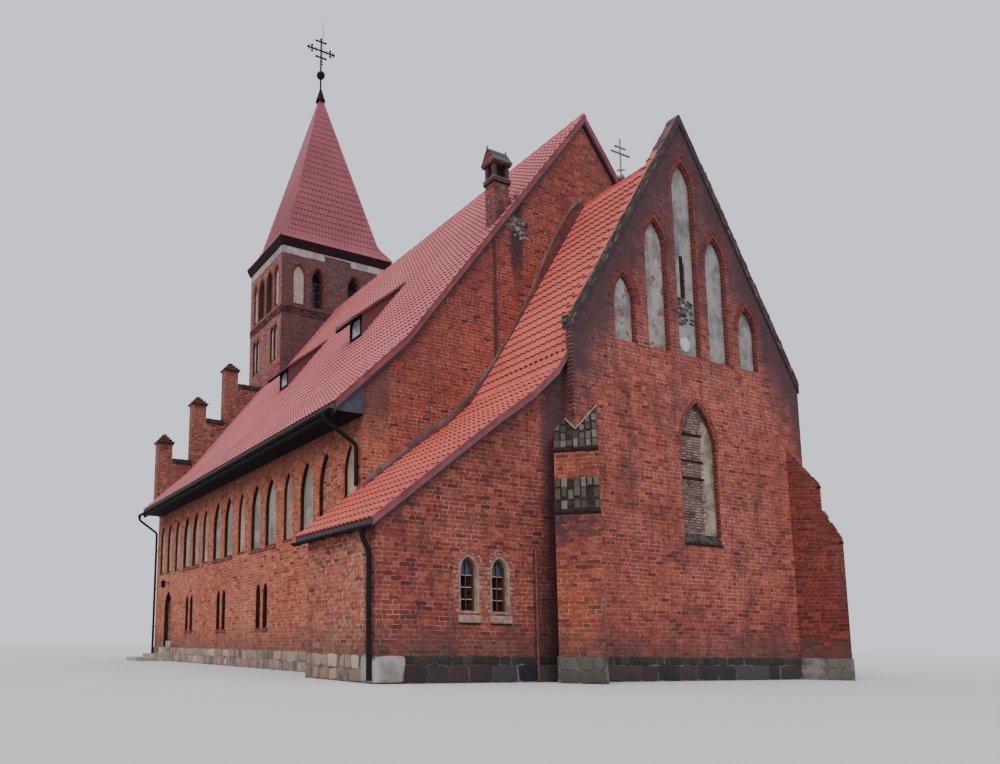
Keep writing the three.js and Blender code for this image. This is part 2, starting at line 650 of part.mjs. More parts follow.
// Chimney on the gable, with an open lantern and a little gabled roof
const [cx0, cx1, cy0, cy1] = CHIMNEY;
const LANTERN = 14270;
const chimneyShaft = prismX([
  [cy0, naveUnder(cy0)], [cy1, naveUnder(cy1)], [cy1, LANTERN - 140], [cy0, LANTERN - 140],
], cx0, cx1);
const posts = [];
for (const x of [cx0, cx1 - 110]) {
  for (const y of [cy0, cy1 - 110]) {
    posts.push(box(x, x + 110, y, y + 110, LANTERN - 1, LANTERN + 420));
  }
}
const chimney = union([
  chimneyShaft,
  box(cx0 - 40, cx1 + 40, cy0 - 40, cy1 + 40, LANTERN - 141, LANTERN),
  ...posts,
]).subtract(box(cx0 + 125, cx1 - 125, cy0 + 125, cy1 - 125, 13300, 15000));
const capLow = LANTERN + 419;
const chimneyCap = prismY([
  [cx0 - 60, capLow], [cx1 + 60, capLow], [cx1 + 60, capLow + 70],
  [(cx0 + cx1) / 2, capLow + 500], [cx0 - 60, capLow + 70],
], cy0 - 60, cy1 + 60);
add('chimney', chimney.add(chimneyCap), BRICK);

// Chancel east gable with five niches, one slit and the blocked window
const rake = (GABLE_APEX - GABLE_FOOT) / 4380;
const gableOutline = [
  [-CHANCEL_SOUTH, PLINTH_TOP + GAP],
  [CHANCEL_HALF, PLINTH_TOP + GAP],
  [CHANCEL_HALF, GABLE_APEX - COPING_HEIGHT - rake * CHANCEL_HALF - GAP],
  [0, GABLE_APEX - COPING_HEIGHT - GAP],
  [-CHANCEL_SOUTH, GABLE_APEX - COPING_HEIGHT - rake * CHANCEL_SOUTH - GAP],
];
const NICHE_SILL = 8260;
const NICHES = [[0, 800, 13680], [-1130, 780, 11800], [1130, 780, 11800], [-2300, 740, 10040], [2300, 740, 10040]];
const nicheCuts = NICHES.map(([y, width, apex]) => prismX(lancet(y, width, NICHE_SILL, apex, width), -130, 100));
const parapetStep = box(-CHANCEL_WALL - 10, -PARAPET - GAP, -9000, 9000, 0, 30000);
const underRoof = prismX([
  [-CHANCEL_SOUTH, 0], [CHANCEL_HALF, 0],
  [CHANCEL_HALF, northUnder(CHANCEL_HALF) - GAP],
  [0, CHANCEL_RIDGE - CHANCEL_SLAB - GAP],
  [-3000, southUnder(-3000) - GAP],
  [-3700, southUnder(-3700) - GAP],
  [-CHANCEL_SOUTH, southUnder(-CHANCEL_SOUTH) - GAP],
], -CHANCEL_WALL, -PARAPET + 1);
const eastGable = prismX(gableOutline, -CHANCEL_WALL, 0)
  .subtract(parapetStep)
  .add(underRoof.subtract(box(-5000, 0, -9000, 9000, -10, PLINTH_TOP + GAP)))
  .subtract(union(nicheCuts))
  .subtract(box(-300, 0, -110, -30, 9900, 11020))
  .subtract(prismX(lancet(110, 1360, 3400, 7080, 1250, 6), -230, 100));
add('chancel_east_gable', eastGable, BRICK);

// Coping over both rakes, with the cap block at the apex
const COPING_SOUTH = 4110;
const copingOut = [
  [-COPING_SOUTH, GABLE_APEX - COPING_HEIGHT - rake * COPING_SOUTH],
  [0, GABLE_APEX - COPING_HEIGHT],
  [4330, GABLE_APEX - COPING_HEIGHT - rake * 4330],
  [4330, GABLE_APEX - rake * 4330],
  [140, GABLE_APEX - rake * 140],
  [0, GABLE_APEX],
  [-140, GABLE_APEX - rake * 140],
  [-COPING_SOUTH, GABLE_APEX - rake * COPING_SOUTH],
];
add('gable_coping', prismX(copingOut, -PARAPET - 60, 40)
  .subtract(prismX([[-4500, 0], [4500, 0], ...[[4500, GABLE_APEX - COPING_HEIGHT - rake * 4500],
    [0, GABLE_APEX - COPING_HEIGHT], [-4500, GABLE_APEX - COPING_HEIGHT - rake * 4500]]], -1000, 200)), BRICK);

// Chancel side walls
const chancelWall = (outer, top) => {
  const inner = outer - Math.sign(outer) * CHANCEL_WALL;
  const outline = [[outer, PLINTH_TOP + GAP], [inner, PLINTH_TOP + GAP], [inner, top(inner)], [outer, top(outer)]];
  return prismX(outline, NAVE_EAST + GAP, -CHANCEL_WALL - GAP);
};
add('chancel_north_wall', chancelWall(CHANCEL_HALF, (y) => northUnder(y) - GAP), BRICK);
const southInner = -CHANCEL_SOUTH + CHANCEL_WALL;
add('chancel_south_wall', prismX([
  [-CHANCEL_SOUTH, PLINTH_TOP + GAP], [southInner, PLINTH_TOP + GAP],
  ...[southInner, -3700, -CHANCEL_SOUTH].map((y) => [y, southUnder(y) - GAP]),
], NAVE_EAST + GAP, -CHANCEL_WALL - GAP), BRICK);

// Chancel north roof slope and the long south slope over the sacristy
const slabNorth = [
  [GAP / 2, CHANCEL_RIDGE - CHANCEL_SLAB],
  [CHANCEL_EAVE_Y, CHANCEL_EAVE_Z - CHANCEL_SLAB],
  [CHANCEL_EAVE_Y, CHANCEL_EAVE_Z],
  [GAP / 2, CHANCEL_RIDGE],
];

const longSlope = [
  [-GAP / 2, CHANCEL_RIDGE],
  ...SLOPE_SOUTH.slice(1),
  ...SLOPE_SOUTH.slice(1).reverse().map(([y, z]) => [y, z - CHANCEL_SLAB]),
  [-GAP / 2, CHANCEL_RIDGE - CHANCEL_SLAB],
];
const longRoof = prismX(longSlope, SACRISTY_WEST_VERGE, SACRISTY_VERGE)
  .subtract(box(-PARAPET - GAP, 100, -CHANCEL_SOUTH - GAP, 100, 0, 20000))
  .subtract(box(-5000, NAVE_EAST + GAP, -NAVE_HALF - GAP, 100, 0, 20000));
add('chancel_roof_south', longRoof, TILE_BRIGHT);

const chancelRidge = prismX([
  [-150, CHANCEL_RIDGE - 150 * 1.5767 + GAP * 2], [GAP / 2, CHANCEL_RIDGE + GAP * 2], [GAP / 2, CHANCEL_RIDGE - 100],
  [150, CHANCEL_RIDGE - 150 * 1.5757 - 40],
  [140, CHANCEL_RIDGE - 170], [50, CHANCEL_RIDGE + 55], [-50, CHANCEL_RIDGE + 55], [-130, CHANCEL_RIDGE - 170],
], NAVE_EAST + GAP, -PARAPET - 60 - GAP);
add('chancel_roof_north', prismX(slabNorth, NAVE_EAST + GAP, -PARAPET - GAP).add(chancelRidge), TILE_BRIGHT);

// Three-barred cross on a ball on the chancel's ridge
const CROSS_X = -1990;
const ridgeCross = union([
  rod([CROSS_X, 0, CHANCEL_RIDGE + 55 + GAP], [CROSS_X, 0, 15560], 24),
  ball([CROSS_X, 0, 14330], 105),
  box(CROSS_X - 18, CROSS_X + 18, -220, 220, 15270, 15310),
  box(CROSS_X - 18, CROSS_X + 18, -375, 375, 15080, 15125),
  moved(box(-18, 18, -155, 155, -20, 20),
    new THREE.Matrix4().makeTranslation(CROSS_X, 0, 14580).multiply(new THREE.Matrix4().makeRotationX(Math.PI / 9))),
]);
add('ridge_cross', ridgeCross, METAL_DARK);

// Sacristy walls under the long slope
const eastOutline = [
  [SACRISTY_SOUTH, PLINTH_TOP + GAP],
  [-CHANCEL_SOUTH - GAP, PLINTH_TOP + GAP],
  ...[-CHANCEL_SOUTH - GAP, -4400, -5200, -6200, SACRISTY_SOUTH].map((y) => [y, southUnder(y) - GAP]),
];
const SACRISTY_WINDOWS = [-6945, -6110];
const sacristyEastWall = prismX(eastOutline, SACRISTY_EAST - SACRISTY_WALL, SACRISTY_EAST)
  .subtract(union(SACRISTY_WINDOWS.map((y) => prismX(lancet(y, 430, 1470, 2680, 300, 4), -2000, 1000))));
add('sacristy_east_wall', sacristyEastWall, BRICK);

const southOutline = [
  [SACRISTY_SOUTH, PLINTH_TOP + GAP],
  [SACRISTY_SOUTH + SACRISTY_WALL, PLINTH_TOP + GAP],
  [SACRISTY_SOUTH + SACRISTY_WALL, southUnder(SACRISTY_SOUTH + SACRISTY_WALL) - GAP],
  [SACRISTY_SOUTH, southUnder(SACRISTY_SOUTH) - GAP],
];

const westWallNorth = -7300;
const westOutline = [
  [SACRISTY_SOUTH, PLINTH_TOP + GAP],
  [westWallNorth, PLINTH_TOP + GAP],
  [westWallNorth, southUnder(westWallNorth) - GAP],
  [SACRISTY_SOUTH, southUnder(SACRISTY_SOUTH) - GAP],
];
add('sacristy_south_wall', prismX(southOutline, NAVE_EAST + GAP, SACRISTY_EAST - SACRISTY_WALL - GAP)
  .add(prismX(westOutline, NAVE_EAST + GAP, NAVE_EAST + 450)), BRICK);

// Buttresses stand clear of the corner by the seat gap
const southClear = union([
  chancelOuter(-10, 9000, GAP).add(box(-4000, GAP, -CHANCEL_SOUTH - GAP, CHANCEL_HALF + GAP, -10, 9000)),
  box(-4000, SACRISTY_EAST + GAP, -9000, -3900, -10, 9000),
]);
add('buttress_southeast', buttress(-1, PLINTH_TOP + GAP, 0).subtract(southClear), BRICK);
add('buttress_northeast', buttress(1, PLINTH_TOP + GAP, 0)
  .subtract(box(-4000, GAP, -CHANCEL_HALF - GAP, CHANCEL_HALF + GAP, -10, 9000))
  .subtract(box(-9000, -BUTTRESS_BACK, 0, 9000, -10, 9000)), BRICK);

// Sheets of glass: one behind each row of windows
const GLASS_THICK = 16;
const slitGlass = (sign, x0, x1) => {
  const y = sign * (naveInside - GAP);
  return box(x0, x1, Math.min(y, y - sign * GLASS_THICK), Math.max(y, y - sign * GLASS_THICK), 1140, 2780);
};
add('glass_slits_south', slitGlass(-1, -18000, -5500), GLASS);
add('glass_slits_north', slitGlass(1, -18000, -5500), GLASS);
add('glass_sacristy', box(
  sacristyInEast - GAP - GLASS_THICK, sacristyInEast - GAP, -7260, -5800, 1370, 2790), GLASS);
const belfryIn = (inset, z0, z1) => box(
  TOWER_WEST + BELFRY_WALL + inset, TOWER_EAST - BELFRY_WALL - inset,
  -TOWER_HALF + BELFRY_WALL + inset, TOWER_HALF - BELFRY_WALL - inset, z0, z1);
add('glass_belfry', belfryIn(GAP, BELFRY_FLOOR + 150 + GAP, 19300)
  .subtract(belfryIn(GAP + GLASS_THICK, BELFRY_FLOOR, 20000)), GLASS);

// Doorway: frame in the rebate, hinged leaf, stone steps running into the reveal, lamp
const frameFront = -NAVE_HALF + DOOR_REVEAL + GAP;
const leafFront = frameFront + 10;
const leafBack = leafFront + LEAF_THICK;
const leafWest = doorWest + 75;
const leafEast = doorEast - 75;
const hingeX = leafWest + HINGE_INSET;
const hingeY = leafBack + HINGE_BACK;

// Each hinge is a knuckle and strap on the leaf over a bracket on the frame's west post
const brackets = HINGE_Z.map((z) => union([
  rod([hingeX, hingeY, z - 70], [hingeX, hingeY, z - 30 - GAP], 10),
  box(leafWest - 20, hingeX, hingeY - 8, hingeY + 8, z - 70, z - 30 - GAP),
]));
const straps = HINGE_Z.map((z) => union([
  rod([hingeX, hingeY, z - 30], [hingeX, hingeY, z + 30], 11),
  box(hingeX, leafEast - 250, leafBack - 1, leafBack + 10, z - 28, z + 28),
]));
add('door_frame', box(doorWest + GAP, doorEast - GAP, frameFront, leafBack + 26, FLOOR_TOP + GAP, REBATE_TOP - GAP)
  .subtract(box(leafWest - 9, leafEast + 9, -9000, -6000, 0, 3057))
  .add(union(brackets)), WOOD_DARK);
add('door_leaf', box(leafWest, leafEast, leafFront, leafBack, FLOOR_TOP + 10, 3050).add(union(straps)), WOOD_DARK);

const steps = union([
  box(doorWest - 150, doorEast + 250, -9300, -8500, 0, 150),
  box(doorWest - 150, doorEast + 250, -8600, -NAVE_HALF - PLINTH_OUT - GAP, 0, 300),
  box(jambWest + GAP, jambEast - GAP, -8000, -7600, 0, 580),
  box(jambWest + GAP, jambEast - GAP, -7700, -naveInside - GAP, 0, FLOOR_TOP),
]);
add('door_steps', steps, STONE);

const lampZ = 3330;
add('door_lamp', union([
  box(DOOR_X - 40, DOOR_X + 40, -NAVE_HALF - 20, -NAVE_HALF - GAP, lampZ - 60, lampZ + 60),
  rod([DOOR_X, -NAVE_HALF - 15, lampZ], [DOOR_X, -NAVE_HALF - 260, lampZ + 60], 14, 8),
  box(DOOR_X - 75, DOOR_X + 75, -NAVE_HALF - 330, -NAVE_HALF - 180, lampZ - 190, lampZ + 30),
  pyramid(DOOR_X - 105, DOOR_X + 105, -NAVE_HALF - 360, -NAVE_HALF - 150, lampZ + 29, lampZ + 150),
]), METAL_DARK);

// Gutters: half round troughs with closed ends, and downpipes joined to them
function trough(y, z, x0, x1, radius) {
  const outer = [];
  const inner = [];
  for (let i = 0; i <= 8; i += 1) {
    const angle = Math.PI + (Math.PI * i) / 8;
    outer.push([y + radius * Math.cos(angle), z + radius * Math.sin(angle)]);
    inner.push([y + (radius - 8) * Math.cos(angle), z + (radius - 8) * Math.sin(angle)]);
  }
  const hollow = [[y - radius + 8, z + 30], ...inner, [y + radius - 8, z + 30]];
  return prismX(outer, x0, x1).subtract(prismX(hollow, x0 + 8, x1 - 8));
}

// Path through given points with one section at each point
class PointPath extends THREE.Curve {
  constructor(points) {
    super();
    this.points = points.map((point) => new THREE.Vector3(...point));
  }

  getPointAt(u, target = new THREE.Vector3()) {
    return target.copy(this.points[Math.round(u * (this.points.length - 1))]);
  }

  getTangentAt(u, target = new THREE.Vector3()) {
    const last = this.points.length - 1;
    const i = Math.round(u * last);
    const before = this.points[Math.max(i - 1, 0)];
    const after = this.points[Math.min(i + 1, last)];
    const here = this.points[i];
    const incoming = i > 0 ? here.clone().sub(before).normalize() : new THREE.Vector3();
    const outgoing = i < last ? after.clone().sub(here).normalize() : new THREE.Vector3();
    return target.copy(incoming.add(outgoing)).normalize();
  }
}

// Bends are softened by two points a little before and after each corner
function pipeRun(corners, radius) {
  const points = [corners[0]];
  for (let i = 1; i < corners.length - 1; i += 1) {
    const here = new THREE.Vector3(...corners[i]);
    for (const other of [corners[i - 1], corners[i + 1]]) {
      const toward = new THREE.Vector3(...other).sub(here);
      points.push(here.clone().add(toward.setLength(Math.min(60, toward.length() / 3))).toArray());
    }
  }
  points.push(corners[corners.length - 1]);
  const circle = new THREE.Shape();
  circle.absarc(0, 0, radius, 0, Math.PI * 2);
  return toSolid(new THREE.ExtrudeGeometry(circle, {
    steps: points.length - 1, extrudePath: new PointPath(points), curveSegments: 5, bevelEnabled: false,
  }));
}

// Outlet box through the trough's floor, with the pipe starting in it
function outlet(x, y, z, radius) {
  return box(x - 62, x + 63, y - 58, y + 59, z - radius - 70, z - radius + 15);
}

const gutterY = NAVE_EAVE_Y + 80;
const gutterZ = NAVE_EAVE_Z - 150;
const PIPE = 55;
const PIPE_STAND = 50;
const wallPipeY = NAVE_HALF + PIPE + PIPE_STAND;

function clamps(sign, x, heights, face) {
  return heights.map((z) => {
    const y0 = sign * (face + GAP);
    const y1 = sign * (face + PIPE + PIPE_STAND);
    return box(x - 20, x + 20, Math.min(y0, y1), Math.max(y0, y1), z - 15, z + 15);
  });
}

function naveRain(sign) {
  const y = sign * gutterY;
  const wy = sign * wallPipeY;
  const east = NAVE_EAST - 150;
  const parts = [
    trough(y, gutterZ, NAVE_WEST + 60, NAVE_EAST + 60, 72),
    outlet(east - 90, y, gutterZ, 72),
    outlet(NAVE_WEST + 100, y, gutterZ, 72),
    pipeRun([[east - 90, y, gutterZ - 100], [east - 90, y, gutterZ - 230], [east, wy, 5750], [east, wy,
      sign < 0 ? 4700 : 100]], PIPE),
    pipeRun([[NAVE_WEST + 100, y, gutterZ - 100], [NAVE_WEST + 100, y, gutterZ - 230], [NAVE_WEST + 80, wy, 5750],
      [NAVE_WEST + 80, wy, 60]], PIPE),
    ...clamps(sign, NAVE_WEST + 80, [1500, 3200, 4900], NAVE_HALF),
    ...clamps(sign, east, sign < 0 ? [5200] : [1500, 3200, 4900], NAVE_HALF),
  ];
  return union(parts);
}

add('rainwater_south', naveRain(-1), METAL_DARK);
add('rainwater_north', naveRain(1), METAL_DARK);

const sacGutterY = -9430 - 75;
const sacGutterZ = 3280 - 130;
const sacPipeY = SACRISTY_SOUTH - PIPE - PIPE_STAND;
add('rainwater_sacristy', union([
  trough(sacGutterY, sacGutterZ, SACRISTY_WEST_VERGE, SACRISTY_VERGE, 68),
  outlet(-430, sacGutterY, sacGutterZ, 68),
  pipeRun([[-430, sacGutterY, sacGutterZ - 100], [-430, sacGutterY, sacGutterZ - 210], [-370, sacPipeY, 2650],
    [-370, sacPipeY, 60]], PIPE),
  ...clamps(-1, -370, [1000, 1900], -SACRISTY_SOUTH),
]), METAL_DARK);

add('wall_pipe', union([
  rod([SACRISTY_EAST + 75, -5150, 20], [SACRISTY_EAST + 75, -5150, 2950], 28),
  box(SACRISTY_EAST + GAP, SACRISTY_EAST + 70, -5165, -5135, 900, 930),
  box(SACRISTY_EAST + GAP, SACRISTY_EAST + 70, -5165, -5135, 2300, 2330),
]), METAL_DARK);

export default group;
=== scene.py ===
import math
import random
from collections import defaultdict

import bpy
from mathutils import Matrix, Vector


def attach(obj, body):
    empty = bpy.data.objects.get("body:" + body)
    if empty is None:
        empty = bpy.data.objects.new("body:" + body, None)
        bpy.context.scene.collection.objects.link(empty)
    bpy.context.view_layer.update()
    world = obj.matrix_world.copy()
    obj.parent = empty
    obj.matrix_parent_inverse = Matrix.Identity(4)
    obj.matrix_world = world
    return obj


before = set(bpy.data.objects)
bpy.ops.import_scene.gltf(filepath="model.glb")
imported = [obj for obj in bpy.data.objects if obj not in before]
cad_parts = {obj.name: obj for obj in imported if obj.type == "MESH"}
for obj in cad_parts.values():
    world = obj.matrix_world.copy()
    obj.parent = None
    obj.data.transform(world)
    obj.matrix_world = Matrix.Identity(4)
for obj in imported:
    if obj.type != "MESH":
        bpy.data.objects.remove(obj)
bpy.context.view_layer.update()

# The church is described from the chancel's east face (X = 0) and the long axis (Y = 0);
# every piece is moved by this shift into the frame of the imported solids.
SHIFT = Vector((11.6083, 0.3855, 0.0))
MOVE = Matrix.Translation(SHIFT)
CHURCH = "church"
DOOR = "door"

# Main sizes, metres
NAVE_EAST, NAVE_WEST, NAVE_HALF = -3.436, -22.52, 7.79
NAVE_RIDGE, NAVE_KICK, NAVE_EAVE = 17.13, (6.5, 8.75), (8.65, 6.68)
ROOF_WEST, ROOF_EAST = -22.07, -3.336
TOWER_WEST, TOWER_EAST, TOWER_HALF = -23.95, -19.918, 2.96
TOWER_MID = (TOWER_WEST + TOWER_EAST) / 2
CHANCEL_HALF, CHANCEL_SOUTH, CHANCEL_RIDGE = 4.306, 4.07, 14.15
GABLE_APEX, GABLE_RAKE = 15.07, (15.07 - 8.14) / 4.38
SACRISTY_EAST, SACRISTY_SOUTH = -0.306, -9.268
LONG_SLOPE = [(0, 14.15), (-3.0, 9.38), (-3.7, 8.29), (-4.4, 7.24), (-5.2, 6.51), (-6.2, 5.79), (-9.43, 3.28)]
PLINTH_TOP = 0.56
TILE_ROW, TILE_WAVE = 0.35, 0.185
DORMERS = (-9.32, -15.35)
DOOR_WEST, DOOR_EAST = -21.1, -19.9
BUTTRESS_HALF = 0.48
COURSE, STRETCHER, HEADER, JOINT = 0.0985, 0.276, 0.138, 0.0135

NAVE_PITCH = 1.289
SPIRE_FOOT, SPIRE_KICK, SPIRE_TIP = 20.34, 21.15, 30.1
GROUND_GAP = 0.004  # height that the lowest stones keep above the floor
BALL_AT, CROSS_BARS = 31.35, ((0.28, 33.355), (0.28, 32.415), (0.81, 32.82))

# The camera: where it stands, how it is turned (radians) and its picture in pixels
EYE = (25.1891, -17.0462, 0.7566)
YAW, PITCH, ROLL = 0.455611, 0.137911, 0.012192
PICTURE, CENTRE, FOCAL, SENSOR = (1000, 764), (314.907, 533.609), 799.917, 36

draw = random.Random(11)


# ---------------------------------------------------------------- camera, floor and light
def set_camera():
    forward = Vector((-math.cos(YAW) * math.cos(PITCH), math.sin(YAW) * math.cos(PITCH), math.sin(PITCH)))
    level = Vector((math.sin(YAW), math.cos(YAW), 0))
    rise = level.cross(forward)
    right = level * math.cos(ROLL) + rise * math.sin(ROLL)
    up = rise * math.cos(ROLL) - level * math.sin(ROLL)
    data = bpy.data.cameras.new("view")
    data.sensor_width = SENSOR
    data.lens = FOCAL / PICTURE[0] * SENSOR
    data.shift_x = (PICTURE[0] / 2 - CENTRE[0]) / PICTURE[0]
    data.shift_y = (CENTRE[1] - PICTURE[1] / 2) / PICTURE[0]
    data.clip_end = 400
    camera = bpy.data.objects.new("view", data)
    bpy.context.collection.objects.link(camera)
    camera.matrix_world = frame_of(EYE, right, up, -forward)
    bpy.context.scene.camera = camera


def set_light():
    world = bpy.data.worlds.new("soft_sky")
    bpy.context.scene.world = world
    world.use_nodes = True
    sky = world.node_tree.nodes["Background"]
    sky.inputs["Color"].default_value = (0.86, 0.91, 1.0, 1)
    sky.inputs["Strength"].default_value = 1.05
    for name, turn, power, tint, angle in (("key", (48, 0, 25), 1.5, (1.0, 0.97, 0.93), 40),
            ("fill", (62, 0, 75), 0.6, (0.93, 0.96, 1.0), 60)):
        data = bpy.data.lights.new(name, "SUN")
        data.energy = power
        data.color = tint
        data.angle = math.radians(angle)
        lamp = bpy.data.objects.new(name, data)
        lamp.rotation_euler = [math.radians(a) for a in turn]
        bpy.context.collection.objects.link(lamp)


# ---------------------------------------------------------------- node helpers
class Sheet:
    """Lays out the nodes of one material or node group."""

    def __init__(self, tree):
        self.tree = tree

    def put(self, kind, **settings):
        node = self.tree.nodes.new(kind)
        for key, value in settings.items():
            setattr(node, key, value)
        return node

    def feed(self, socket, value):
        if isinstance(value, bpy.types.NodeSocket):
            self.tree.links.new(value, socket)
        elif value is not None:
            socket.default_value = value

    def math(self, operation, a, b=None):
        node = self.put("ShaderNodeMath", operation=operation)
        for socket, value in zip(node.inputs, (a, b)):
            self.feed(socket, value)
        return node.outputs[0]

    def times(self, a, b):
        return self.math("MULTIPLY", a, b)

    def plus(self, a, b):
        return self.math("ADD", a, b)

    def minus(self, a, b):
        return self.math("SUBTRACT", a, b)

    def most(self, a, b):
        return self.math("MAXIMUM", a, b)

    def least(self, a, b):
        return self.math("MINIMUM", a, b)

    def size(self, a):
        return self.math("ABSOLUTE", a)

    def above(self, a, b):
        return self.math("GREATER_THAN", a, b)

    def mix(self, share, a, b):
        node = self.put("ShaderNodeMix", data_type="RGBA")
        self.feed(node.inputs[0], share)
        self.feed(node.inputs[6], colour(a))
        self.feed(node.inputs[7], colour(b))
        return node.outputs[2]

    def between(self, value, low, high, to_low=0.0, to_high=1.0):
        node = self.put("ShaderNodeMapRange", interpolation_type="SMOOTHSTEP")
        for socket, item in zip(node.inputs, (value, low, high, to_low, to_high)):
            self.feed(socket, item)
        return node.outputs[0]

    def split(self, vector):
        node = self.put("ShaderNodeSeparateXYZ")
        self.feed(node.inputs[0], vector)
        return node.outputs

    def join(self, x, y, z):
        node = self.put("ShaderNodeCombineXYZ")
        for socket, value in zip(node.inputs, (x, y, z)):
            self.feed(socket, value)
        return node.outputs[0]

    def stretch(self, vector, scale):
        node = self.put("ShaderNodeMapping")
        self.feed(node.inputs["Vector"], vector)
        node.inputs["Scale"].default_value = scale
        return node.outputs[0]

    def noise(self, vector, scale, detail=3.0, roughness=0.55):
        node = self.put("ShaderNodeTexNoise")
        self.feed(node.inputs["Vector"], vector)
        self.feed(node.inputs["Scale"], scale)
        node.inputs["Detail"].default_value = detail
        node.inputs["Roughness"].default_value = roughness
        return node.outputs["Fac"]

    def ramp(self, share, *stops):
        node = self.put("ShaderNodeValToRGB")
        self.feed(node.inputs[0], share)
        marks = node.color_ramp.elements
        while len(marks) < len(stops):
            marks.new(0.5)
        for mark, (place, tint) in zip(marks, stops):
            mark.position = place
            mark.color = colour(tint)
        return node.outputs[0]

    def group(self, name, **values):
        node = self.put("ShaderNodeGroup", node_tree=bpy.data.node_groups[name])
        for key, value in values.items():
            self.feed(node.inputs[key.replace("_", " ")], value)
        return node.outputs


def colour(value):
    return (*value, 1.0) if isinstance(value, tuple) and len(value) == 3 else value


def new_group(name, vectors, values, results):
    """A node group with vector inputs, values that have a start, and results that are all values."""
    tree = bpy.data.node_groups.new(name, "ShaderNodeTree")
    for label in vectors:
        tree.interface.new_socket(label, in_out="INPUT", socket_type="NodeSocketVector")
    for label, start in values.items():
        tree.interface.new_socket(label, in_out="INPUT", socket_type="NodeSocketFloat").default_value = start
    for label in results:
        tree.interface.new_socket(label, in_out="OUTPUT", socket_type="NodeSocketFloat")
    sheet = Sheet(tree)
    inner = sheet.put("NodeGroupInput").outputs
    outer = sheet.put("NodeGroupOutput").inputs
    return sheet, inner, outer


mat = {}


def new_material(name, roughness=0.85, metallic=0.0, bump=0.0, reach=0.01):
    """Returns the sheet, the Object coordinates and a function that finishes the material and files it."""
    material = bpy.data.materials.new(name)
    material.use_nodes = True
    sheet = Sheet(material.node_tree)
    surface = material.node_tree.nodes["Principled BSDF"]
    surface.inputs["Roughness"].default_value = roughness
    surface.inputs["Metallic"].default_value = metallic
    surface.inputs["Specular IOR Level"].default_value = 0.15 if roughness > 0.8 else 0.4
    place = sheet.put("ShaderNodeTexCoord").outputs["Object"]

    def finish(tint, rough=None, height=None):
        sheet.feed(surface.inputs["Base Color"], colour(tint))
        sheet.feed(surface.inputs["Roughness"], rough)
        mat[name] = material
        if height is not None:
            relief = sheet.put("ShaderNodeBump")
            relief.inputs["Strength"].default_value = bump
            relief.inputs["Distance"].default_value = reach
            sheet.feed(relief.inputs["Height"], height)
            sheet.feed(surface.inputs["Normal"], relief.outputs[0])

    return sheet, place, finish


